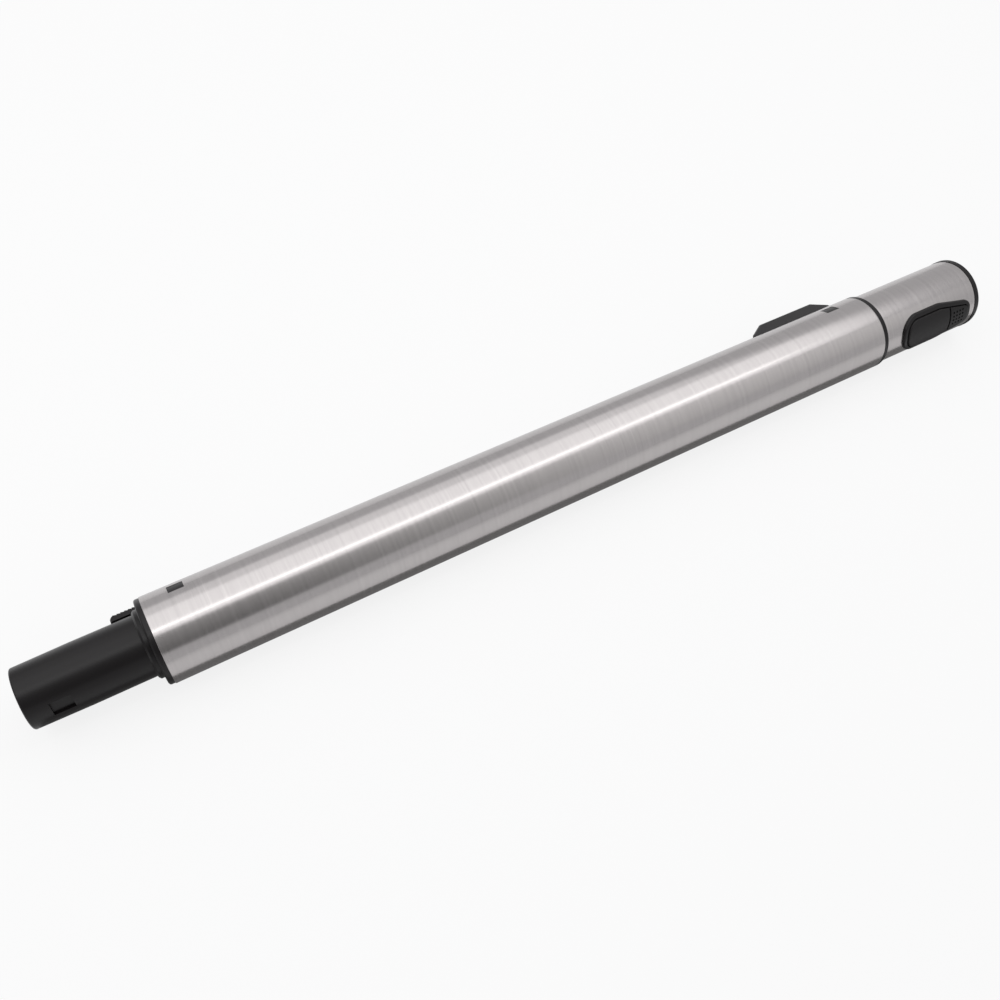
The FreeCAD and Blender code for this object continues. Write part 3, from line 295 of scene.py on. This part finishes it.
def shaded(tint, factor):
    """A colour made darker or lighter by a factor, with its alpha."""
    return (*(min(1.0, channel * factor) for channel in tint), 1)


class Finish:
    """The node tree of a material or a world, with one method that adds any node."""

    # Sockets of a Mix node that is set to colours, whose names it also gives to others
    MIX_FACTOR, MIX_FIRST, MIX_SECOND, MIX_RESULT = 0, 6, 7, 2

    def __init__(self, name, kind="materials"):
        self.block = getattr(bpy.data, kind).new(name)
        self.block.use_nodes = True
        self.nodes = self.block.node_tree.nodes
        self.links = self.block.node_tree.links
        self.nodes.clear()

    def node(self, kind, settings=None, inputs=None, output=0):
        made = self.nodes.new(kind)
        for key, value in (settings or {}).items():
            setattr(made, key, value)
        for key, value in (inputs or {}).items():
            if isinstance(value, Maths):
                self.links.new(value.socket, made.inputs[key])
            else:
                made.inputs[key].default_value = value
        return Maths(self, made.outputs[output]) if made.outputs else None

    def noise(self, repeats, detail=2.0, rough=0.5):
        """Noise in Object coordinates that repeats this often in a metre along each axis."""
        where = self.node("ShaderNodeTexCoord", output="Object")
        spread = self.node("ShaderNodeMapping", None, {"Vector": where, "Scale": repeats})
        inputs = {"Vector": spread, "Scale": 1.0, "Detail": detail, "Roughness": rough}
        return self.node("ShaderNodeTexNoise", None, inputs)

    def mottled(self, factor, tint, darkest, lightest):
        """Colour that a factor carries from a darker to a lighter shade of one tint."""
        inputs = {
            self.MIX_FACTOR: factor,
            self.MIX_FIRST: shaded(tint, darkest),
            self.MIX_SECOND: shaded(tint, lightest),
        }
        settings = {"data_type": "RGBA", "clamp_factor": True}
        return self.node("ShaderNodeMix", settings, inputs, output=self.MIX_RESULT)

    def bump(self, height, distance):
        return self.node("ShaderNodeBump", None, {"Height": height, "Distance": distance})

    def surface(self, **inputs):
        """Principled surface whose sockets are named with underscores, joined to the output."""
        named = {key.replace("_", " "): value for key, value in inputs.items()}
        shader = self.node("ShaderNodeBsdfPrincipled", None, named)
        self.node("ShaderNodeOutputMaterial", None, {"Surface": shader})

    def whitened(self, plain, white, glow, sheen):
        """Shader that turns white by one share for the camera and by another for metal and glass."""
        camera = self.node("ShaderNodeLightPath", output="Is Camera Ray")
        glossy = self.node("ShaderNodeLightPath", output="Is Glossy Ray")
        through = self.node("ShaderNodeLightPath", output="Is Transmission Ray")
        seen = camera * glow + (glossy + through) * sheen
        return self.node("ShaderNodeMixShader", None, {0: seen, 1: plain, 2: white})

    def glow(self, shade):
        """Even grey glow of this brightness, joined to the output."""
        grey = self.node("ShaderNodeCombineColor", None, {"Red": shade, "Green": shade, "Blue": shade})
        light = self.node("ShaderNodeEmission", None, {"Color": grey})
        self.node("ShaderNodeOutputMaterial", None, {"Surface": light})


def finish_name(slot):
    return f"wand_{slot}"


def brushed_steel(finish):
    """Stainless steel with fine lines brushed round the tube, broader marks and a cloudy sheen."""
    steel = Finish(finish_name("brushed_stainless"))
    lines = steel.noise(finish.brush_lines, detail=3.0, rough=0.65)
    bands = steel.noise(finish.brush_bands)
    cloud = steel.noise(finish.cloud)
    streak = (lines + bands) * 0.5
    uneven = (streak - MEAN_NOISE) * finish.brush_swing + (cloud - MEAN_NOISE) * finish.cloud_swing
    steel.surface(
        Base_Color=steel.mottled(streak, finish.steel, darkest=0.83, lightest=1.17),
        Metallic=1.0,
        Roughness=finish.steel_roughness + uneven,
        Normal=steel.bump(streak, finish.brush_depth),
    )


def moulded(finish, slot, tint, roughness, gloss):
    """Moulded plastic with a fine spark-eroded grain and slightly uneven gloss."""
    plastic = Finish(finish_name(slot))
    grain, depth = GRAIN[slot]
    speck = plastic.noise((grain, grain, grain), detail=3.0, rough=0.6)
    flow = plastic.noise(finish.flow, detail=3.0)
    uneven = (speck - MEAN_NOISE) * finish.grain_swing + (flow - MEAN_NOISE) * finish.flow_swing
    plastic.surface(
        Base_Color=plastic.mottled(flow, tint, darkest=0.75, lightest=1.3),
        Roughness=roughness + uneven,
        Normal=plastic.bump(speck, depth),
        Specular_IOR_Level=gloss,
    )


def drawn_metal(finish, slot, tint, roughness):
    """Drawn or ground metal with faint lines along it."""
    metal = Finish(finish_name(slot))
    across = DRAWN_LINES[slot]
    line = metal.noise((across / DRAWN_STRETCH, across, across))
    metal.surface(
        Base_Color=metal.mottled(line, tint, darkest=0.85, lightest=1.12),
        Metallic=1.0,
        Roughness=roughness + (line - MEAN_NOISE) * finish.line_swing,
    )


def finish_of(node):
    """The finish of a node's material slot."""
    return bpy.data.materials[finish_name(SLOT_OF[node])]


def show_nodes(*nodes):
    """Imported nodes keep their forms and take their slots' finishes."""
    for node in nodes:
        piece = frame["nodes"][node]
        piece.data.materials.clear()
        piece.data.materials.append(finish_of(node))


def shorten(node):
    """Works out how far a spring would shorten towards its seat as the piece that presses it goes to its limit,
    but leaves its form as it is and only gives it a mesh of its own.
    """
    pressed = [(joint, end) for joint in frame["joints"] for end in joint.get("deforming_nodes", [])]
    joint, end = next(pair for pair in pressed if pair[1]["node"] == node)
    spring = frame["nodes"][node]
    points = [spring.matrix_world @ vertex.co for vertex in spring.data.vertices]
    if joint["type"] == "slide":
        axis, seat = Vector(joint["axis"]), AXIS * end["fixed_end_x_m"]
        travel = joint["range_m"][1]
    else:
        seat = Vector(end["fixed_end_m"])
        axis = Vector((0, seat.y, seat.z)).normalized()
        arm = max(abs(point.x - joint["pos_m"][0]) for point in points)
        travel = arm * math.tan(math.radians(joint["range_deg"][1]))
    extent = max(abs((point - seat).dot(axis)) for point in points)
    1 - travel / extent
    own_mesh(spring)


def object_from(mesh, name):
    """Makes the object of a drawn mesh and lets the drawing go."""
    data = bpy.data.meshes.new(name)
    mesh.to_mesh(data)
    mesh.free()
    made = bpy.data.objects.new(name, data)
    bpy.context.scene.collection.objects.link(made)
    return made


def laid_down(mesh, name):
    """Makes the object of a mesh that was drawn with the slider on top."""
    mesh.transform(LAID_DOWN)
    return object_from(mesh, name)


def piece_from(mesh, name, node):
    """Makes the laid-down object of a drawn mesh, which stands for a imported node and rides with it."""
    piece = laid_down(mesh, name)
    piece.data.materials.append(finish_of(node))
    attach(piece, BODY_OF[node])
    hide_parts(node)
    return piece


def smooth(piece):
    piece.data.shade_smooth()
    piece.data.set_sharp_from_angle(angle=SMOOTH_BELOW)


def cut_away(piece, *cutters):
    """Cuts closed objects out of a piece, one after another, and removes them."""
    for cutter in cutters:
        modifier = piece.modifiers.new("cut", "BOOLEAN")
        modifier.object = cutter
        modifier.operation = "DIFFERENCE"
        modifier.solver = "EXACT"
        graph = bpy.context.evaluated_depsgraph_get()
        cut = bpy.data.meshes.new_from_object(piece.evaluated_get(graph))
        piece.modifiers.clear()
        old, spent = piece.data, cutter.data
        cut.name = old.name
        piece.data = cut
        bpy.data.objects.remove(cutter)
        bpy.data.meshes.remove(old)
        bpy.data.meshes.remove(spent)


def add_block(mesh, at, along, width, low, high, turn=0.0):
    """Adds a box centred on a station, between two heights over the axis and turned about it."""
    size = Matrix.Diagonal((along, width, high - low, 1))
    centre = Matrix.Translation((at, 0, (low + high) / 2))
    bmesh.ops.create_cube(mesh, size=1, matrix=Matrix.Rotation(turn, 4, "X") @ centre @ size)


def rod(radius, start, end, segments):
    """Solid rod on the wand's axis."""
    mesh = bmesh.new()
    lie = Matrix.Translation(((start + end) / 2, 0, 0)) @ Matrix.Rotation(math.pi / 2, 4, "Y")
    bmesh.ops.create_cone(
        mesh, cap_ends=True, segments=segments, radius1=radius, radius2=radius, depth=end - start, matrix=lie
    )
    return mesh


def spun(points, segments):
    """Closed outline of (station, radius) points, spun about the wand's axis."""
    mesh = bmesh.new()
    verts = [mesh.verts.new((x, 0, r)) for x, r in points]
    edges = [mesh.edges.new(pair) for pair in zip(verts, verts[1:] + verts[:1])]
    turn = 2 * math.pi
    bmesh.ops.spin(
        mesh, geom=verts + edges, cent=(0, 0, 0), axis=AXIS, angle=turn, steps=segments, use_merge=True
    )
    bmesh.ops.remove_doubles(mesh, verts=mesh.verts, dist=TOLERANCE)
    bmesh.ops.recalc_face_normals(mesh, faces=mesh.faces)
    return mesh


def round_edges(mesh, edges, offset, segments):
    bmesh.ops.bevel(
        mesh, geom=edges, offset=offset, offset_type="OFFSET", affect="EDGES",
        segments=segments, profile=0.5, material=-1,
    )


def round_rims(mesh, rims, offset):
    """Rounds the circular edges at these (station, radius) places."""
    def at_rim(vert):
        radius = math.hypot(vert.co.y, vert.co.z)
        return any(abs(vert.co.x - x) < TOLERANCE and abs(radius - r) < TOLERANCE for x, r in rims)

    edges = [edge for edge in mesh.edges if all(at_rim(vert) for vert in edge.verts)]
    edges = [edge for edge in edges if abs(edge.verts[0].co.x - edge.verts[1].co.x) < TOLERANCE]
    round_edges(mesh, edges, offset, RIM_SEGMENTS)


def prism(outline, path):
    """Closed outline of points, carried along a path."""
    mesh = bmesh.new()
    face = mesh.faces.new([mesh.verts.new(point) for point in outline])
    made = bmesh.ops.extrude_face_region(mesh, geom=[face])["geom"]
    moved = [item for item in made if isinstance(item, bmesh.types.BMVert)]
    bmesh.ops.translate(mesh, vec=path, verts=moved)
    bmesh.ops.recalc_face_normals(mesh, faces=mesh.faces)
    return mesh


def channel_prism(tubes, grow, start, end):
    """The guide channel's section, or the outside of its pressed wall, well past the tube's surface."""
    floor = tubes.channel_floor / 2 + grow
    mouth = tubes.channel_mouth / 2 + grow
    flare = OVERSHOOT / tubes.channel_depth * (mouth - floor)
    low = INNER_RADIUS - tubes.channel_depth - grow
    high = INNER_RADIUS + OVERSHOOT
    section = [(-floor, low), (floor, low), (mouth + flare, high), (-mouth - flare, high)]
    return prism([(start, y, z) for y, z in section], AXIS * (end - start))


def rocker_hole(tubes, height):
    """Post with the outline of the hole for the rocker, which narrows towards the hose end."""
    inset = tubes.hole_inset
    slope = (tubes.hole_width - tubes.hole_nose_width) / (2 * tubes.hole_taper)
    slant = math.hypot(1, slope)
    lean = math.atan(slope)
    heel = BEZEL_START + inset
    shoulder = BEZEL_END - tubes.hole_taper - inset * slope / (slant + 1)
    nose = BEZEL_END - inset
    wide = tubes.hole_width / 2 - inset
    narrow = tubes.hole_nose_width / 2 - inset * (slant - slope)
    half = [(heel, wide), (shoulder, wide), (nose, narrow)]
    outline = half + [(x, -y) for x, y in reversed(half)]
    mesh = prism([(x, y, 0) for x, y in outline], (0, 0, height))
    corners = (
        (heel, tubes.hole_heel, math.pi / 2),
        (shoulder, tubes.hole_shoulder, lean),
        (nose, tubes.hole_nose, math.pi / 2 - lean),
    )
    for x, radius, turn in corners:
        upright = [e for e in mesh.edges if all(abs(v.co.x - x) < TOLERANCE for v in e.verts)]
        upright = [e for e in upright if abs(e.verts[0].co.z - e.verts[1].co.z) > height / 2]
        round_edges(mesh, upright, (radius - inset) * math.tan(turn / 2), CORNER_SEGMENTS)
    bmesh.ops.rotate(mesh, verts=mesh.verts, cent=(0, 0, 0), matrix=Matrix.Rotation(ROCKER_SIDE, 3, "X"))
    return mesh


class WandFinishes(bpy.types.Operator):
    """Finishes of the tubes, the moulded pieces and the inner works"""

    bl_idname = "wand.finishes"
    bl_label = "Finishes"

    def execute(self, context):
        finish = context.scene.wand_finish
        brushed_steel(finish)
        moulded(finish, "black_plastic", finish.plastic, finish.plastic_roughness, finish.gloss)
        moulded(finish, "black_grip", finish.grip, finish.grip_roughness, finish.gloss)
        moulded(finish, "natural_acetal", finish.acetal, finish.acetal_roughness, finish.acetal_gloss)
        moulded(finish, "seal_rubber", finish.rubber, finish.rubber_roughness, finish.gloss)
        drawn_metal(finish, "spring_steel", finish.wire, finish.wire_roughness)
        drawn_metal(finish, "bright_steel", finish.ground_steel, finish.ground_roughness)
        return {"FINISHED"}


class WandOuterTube(bpy.types.Operator):
    """Outer tube with its snap windows, bolt slot and hook slots"""

    bl_idname = "wand.outer_tube"
    bl_label = "Outer tube"

    def execute(self, context):
        tubes = context.scene.wand_tubes
        piece = piece_from(self.blank(tubes), "outer_tube_shell", "outer_tube")
        cut_away(piece, laid_down(self.holes(tubes), "holes"))
        smooth(piece)
        return {"FINISHED"}

    def blank(self, tubes):
        """Plain tube with rounded rims, and a guard loop inside each end."""
        bore = TUBE_RADIUS - tubes.wall
        guards = (TUBE_START + tubes.guard, TUBE_END - tubes.guard)
        outside = [(x, TUBE_RADIUS) for x in (TUBE_START, *guards, TUBE_END)]
        inside = [(x, bore) for x in (TUBE_END, *reversed(guards), TUBE_START)]
        mesh = spun(outside + inside, tubes.segments)
        rims = [(x, radius) for x in (TUBE_START, TUBE_END) for radius in (TUBE_RADIUS, bore)]
        round_rims(mesh, rims, tubes.rim)
        return mesh

    def holes(self, tubes):
        """Blocks that cut the two pairs of snap windows, the bolt slot and the hook slots."""
        mesh = bmesh.new()
        low, high = TUBE_RADIUS - tubes.wall - OVERSHOOT, TUBE_RADIUS + OVERSHOOT
        lower = TUBE_START + tubes.lower_window_from_end + tubes.lower_window / 2
        upper = TUBE_END - tubes.upper_window_from_end - tubes.upper_window / 2
        for turn in (tubes.window_angle, -tubes.window_angle):
            add_block(mesh, lower, tubes.lower_window, tubes.window_width, low, high, turn)
            add_block(mesh, upper, tubes.upper_window, tubes.window_width, low, high, turn)
        add_block(mesh, BOLT_AT, tubes.bolt_slot, tubes.bolt_slot_width, low, high)
        for hook in (BOLT_AT - tubes.hook_spacing, BOLT_AT + tubes.hook_spacing):
            add_block(mesh, hook, tubes.hook_slot, tubes.hook_slot_width, low, high)
        return mesh


class WandInnerTube(bpy.types.Operator):
    """Inner tube with its pressed guide channel, lock notches and the hole for the rocker"""

    bl_idname = "wand.inner_tube"
    bl_label = "Inner tube"

    def execute(self, context):
        tubes = context.scene.wand_tubes
        solid = rod(INNER_RADIUS, INNER_START, INNER_END, tubes.segments)
        piece = piece_from(solid, "inner_tube_shell", "inner_tube")
        channel_end = TUBE_END + tubes.channel_past_tube
        channel = channel_prism(tubes, 0, INNER_START - OVERSHOOT, channel_end)
        cut_away(piece, laid_down(channel, "channel"))
        hole = laid_down(rocker_hole(tubes, TUBE_RADIUS + OVERSHOOT), "rocker_hole")
        notches = laid_down(self.notches(tubes), "notches")
        cut_away(piece, self.hollow(tubes, channel_end), notches, hole)
        smooth(piece)
        return {"FINISHED"}

    def hollow(self, tubes, channel_end):
        """The tube's inside, less the channel with its wall."""
        bore = INNER_RADIUS - tubes.wall
        inside = rod(bore, INNER_START - OVERSHOOT, INNER_END + OVERSHOOT, tubes.segments)
        hollow = laid_down(inside, "hollow")
        wall_end = channel_end + tubes.wall
        pressed = channel_prism(tubes, tubes.wall, INNER_START - 2 * OVERSHOOT, wall_end)
        cut_away(hollow, laid_down(pressed, "pressed_wall"))
        return hollow

    def notches(self, tubes):
        """Blocks that cut a lock notch at the bolt and at each step of the extension."""
        mesh = bmesh.new()
        low = INNER_RADIUS - tubes.channel_depth - OVERSHOOT
        for step in range(round(EXTENSION / tubes.notch_pitch) + 1):
            at = BOLT_AT - step * tubes.notch_pitch
            add_block(mesh, at, tubes.notch, tubes.notch_width, low, INNER_RADIUS)
        return mesh


class WandSpigot(bpy.types.Operator):
    """Spigot that takes the nozzle, with the collar ring that closes the tube"""

    bl_idname = "wand.spigot"
    bl_label = "Spigot and collar"

    def execute(self, context):
        show_nodes("spigot_insert", "collar_ring")
        return {"FINISHED"}


class WandNozzleLatch(bpy.types.Operator):
    """Nozzle latch with its pin and spring"""

    bl_idname = "wand.nozzle_latch"
    bl_label = "Nozzle latch"

    def execute(self, context):
        show_nodes("nozzle_latch", "latch_pin", "latch_spring")
        shorten("latch_spring")
        return {"FINISHED"}


class WandGuides(bpy.types.Operator):
    """Bush, glide sleeve and seal between the two tubes"""

    bl_idname = "wand.guides"
    bl_label = "Tube guides"

    def execute(self, context):
        show_nodes("upper_bush", "glide_sleeve", "seal_ring")
        return {"FINISHED"}


class WandLengthLock(bpy.types.Operator):
    """Thumb slide under its cover, with the bolt that drops into the notches"""

    bl_idname = "wand.length_lock"
    bl_label = "Length lock"

    def execute(self, context):
        show_nodes("slider_cover", "length_slider", "slider_base", "slider_spring")
        show_nodes("lock_bolt", "lock_cross_pin")
        shorten("slider_spring")
        return {"FINISHED"}


class WandSocket(bpy.types.Operator):
    """Socket for the hose handle, with the end ring"""

    bl_idname = "wand.socket"
    bl_label = "Socket"

    def execute(self, context):
        show_nodes("socket_liner")
        return {"FINISHED"}


class WandReleaseRocker(bpy.types.Operator):
    """Release rocker in its bezel, with its pin and spring"""

    bl_idname = "wand.release_rocker"
    bl_label = "Release rocker"

    def execute(self, context):
        show_nodes("rocker_bezel", "release_rocker", "rocker_pin", "rocker_spring")
        shorten("rocker_spring")
        return {"FINISHED"}


def floor_material(stage):
    """Pale floor that keeps the wand's shadow and is close to white in view."""
    floor = Finish("studio_floor")
    matt = floor.node("ShaderNodeBsdfDiffuse", None, {"Color": (*stage.floor, 1)})
    white = floor.node("ShaderNodeEmission", None, {"Color": WHITE})
    mixed = floor.whitened(matt, white, stage.floor_glow, stage.floor_sheen)
    floor.node("ShaderNodeOutputMaterial", None, {"Surface": mixed})
    return floor.block


def room_world(stage):
    """Even grey light from all round, which is close to white in view."""
    room = Finish("room", "worlds")
    light = room.node("ShaderNodeBackground", None, {"Color": (*stage.room, 1)})
    white = room.node("ShaderNodeBackground", None, {"Color": WHITE})
    mixed = room.whitened(light, white, stage.room_glow, stage.room_sheen)
    room.node("ShaderNodeOutputWorld", None, {"Surface": mixed})
    return room.block


def card_material(stage):
    """Grey card that lightens towards the hose end and towards its upper edge."""
    card = Finish("grey_card")
    where = card.node("ShaderNodeTexCoord", output="Object")
    along = card.node("ShaderNodeSeparateXYZ", None, {"Vector": where}, output="X")
    across = card.node("ShaderNodeSeparateXYZ", None, {"Vector": where}, output="Y")
    fade = {"Value": along, "From Min": stage.fade_start, "From Max": stage.fade_end}
    hose = card.node("ShaderNodeMapRange", None, fade)
    climb = {"Value": across, "From Min": stage.card_near, "From Max": stage.card_far}
    upper = card.node("ShaderNodeMapRange", None, climb)
    card.glow(hose * stage.card_along + upper * stage.card_up + stage.card_dark)
    return card.block


def painted_shadow_material(stage):
    """Dark card of one even grey, which is painted shadow: the tubes reflect it in place of the wand's own shadow
    on the floor.
    """
    foot = Finish("foot_card")
    foot.glow(stage.painted_shadow_shade)
    return foot.block


def area_light(name, along, across, height, radiance):
    """Flat lamp that hangs level over the wand between these stations and shines down."""
    lamp = bpy.data.lights.new(name, "AREA")
    lamp.shape = "RECTANGLE"
    lamp.size = along[1] - along[0]
    lamp.size_y = across[1] - across[0]
    lamp.energy = radiance * math.pi * lamp.size * lamp.size_y
    holder = bpy.data.objects.new(name, lamp)
    holder.location = (sum(along) / 2, sum(across) / 2, height)
    holder.visible_camera = False
    bpy.context.scene.collection.objects.link(holder)


class WandSetStage(bpy.types.Operator):
    """Floor, lamps, room, cards and camera"""

    bl_idname = "wand.stage"
    bl_label = "Stage"

    def execute(self, context):
        stage = context.scene.wand_stage
        context.scene.view_settings.view_transform = "Standard"
        context.scene.world = room_world(stage)
        self.lay_floor(stage)
        self.hang_lamps(stage)
        self.stand_cards(stage)
        context.scene.camera = self.set_camera(stage)
        return {"FINISHED"}

    def lay_floor(self, stage):
        mesh = bmesh.new()
        at_rest = Matrix.Translation((0, 0, CAD_BOX[0].z))
        bmesh.ops.create_circle(
            mesh, cap_ends=True, segments=FLOOR_SEGMENTS, radius=stage.floor_radius, matrix=at_rest
        )
        floor = object_from(mesh, "floor")
        floor.data.materials.append(floor_material(stage))

    def hang_lamps(self, stage):
        sides = (stage.lamp_left, stage.lamp_right)
        height = stage.lamp_height
        area_light("softbox", sides, (stage.softbox_near, stage.softbox_far), height, stage.softbox)
        area_light("far_panel", sides, (stage.softbox_far, stage.far_panel_end), height, stage.far_panel)
        low = height - stage.strip_drop
        along = (stage.lamp_left, stage.strip_right)
        area_light("strip", along, (stage.strip_near, stage.strip_far), low, stage.strip)

    def stand_cards(self, stage):
        """Cards that only glossy surfaces see, one beside the camera and one at the wand's foot, which is painted
        shadow that the tubes reflect in place of the floor's own shadow.
        """
        lower = Vector((0, stage.card_near, stage.card_low))
        upper = Vector((0, stage.card_far, stage.card_high))
        self.stand_card("card", (stage.card_start, stage.card_end), lower, upper, card_material(stage))
        # Painted shadow: a dark sheet just above the floor, from the axis to the near side, where the wand's
        # shadow falls
        floor = CAD_BOX[0].z + stage.painted_shadow_lift
        near, far = Vector((0, -stage.foot_card, floor)), Vector((0, 0, floor))
        under = (CAD_BOX[0].x, CAD_BOX[1].x + EXTENSION)
        self.stand_card("foot_card", under, near, far, painted_shadow_material(stage))

    def stand_card(self, name, along, low, high, material):
        mesh = bmesh.new()
        start, end = AXIS * along[0], AXIS * along[1]
        corners = [low + start, low + end, high + end, high + start]
        mesh.faces.new([mesh.verts.new(corner) for corner in corners])
        card = object_from(mesh, name)
        card.data.materials.append(material)
        card.visible_camera = False
        card.visible_diffuse = False
        card.visible_shadow = False

    def set_camera(self, stage):
        rise = Vector((0, math.cos(stage.elevation), -math.sin(stage.elevation)))
        above = Vector((0, math.sin(stage.elevation), math.cos(stage.elevation)))
        look = rise * math.cos(stage.swing) + AXIS * math.sin(stage.swing) - above * stage.drop
        data = bpy.data.cameras.new("camera")
        data.lens = stage.lens
        data.sensor_width = stage.sensor
        data.clip_start = stage.clip_start
        camera = bpy.data.objects.new("camera", data)
        camera.location = AXIS * stage.station - rise * stage.distance
        camera.rotation_mode = "QUATERNION"
        camera.rotation_quaternion = look.to_track_quat("-Z", "Y") @ Quaternion((0, 0, 1), stage.roll)
        bpy.context.scene.collection.objects.link(camera)
        return camera


class WandPanel(bpy.types.Panel):
    """Lists the wand's pieces and its stage"""

    bl_idname = "VIEW3D_PT_wand"
    bl_label = "Telescopic wand"
    bl_space_type = "VIEW_3D"
    bl_region_type = "UI"
    bl_category = "Wand"

    def draw(self, context):
        for operator in OPERATORS:
            self.layout.operator(operator.bl_idname)


GROUPS = {"wand_tubes": WandTubes, "wand_finish": WandFinish, "wand_stage": WandStage}
OPERATORS = (
    WandFinishes,
    WandOuterTube,
    WandInnerTube,
    WandSpigot,
    WandNozzleLatch,
    WandGuides,
    WandLengthLock,
    WandSocket,
    WandReleaseRocker,
    WandSetStage,
)


def register():
    for name, group in GROUPS.items():
        bpy.utils.register_class(group)
        setattr(bpy.types.Scene, name, PointerProperty(type=group))
    for made in (*OPERATORS, WandPanel):
        bpy.utils.register_class(made)


def unregister():
    for made in (WandPanel, *reversed(OPERATORS)):
        bpy.utils.unregister_class(made)
    for name, group in GROUPS.items():
        delattr(bpy.types.Scene, name)
        bpy.utils.unregister_class(group)


def main():
    register()
    bpy.ops.wand.finishes()
    bpy.ops.wand.outer_tube()
    bpy.ops.wand.inner_tube()
    bpy.ops.wand.spigot()
    bpy.ops.wand.nozzle_latch()
    bpy.ops.wand.guides()
    bpy.ops.wand.length_lock()
    bpy.ops.wand.socket()
    bpy.ops.wand.release_rocker()
    bpy.ops.wand.stage()


if __name__ == "__main__":
    main()
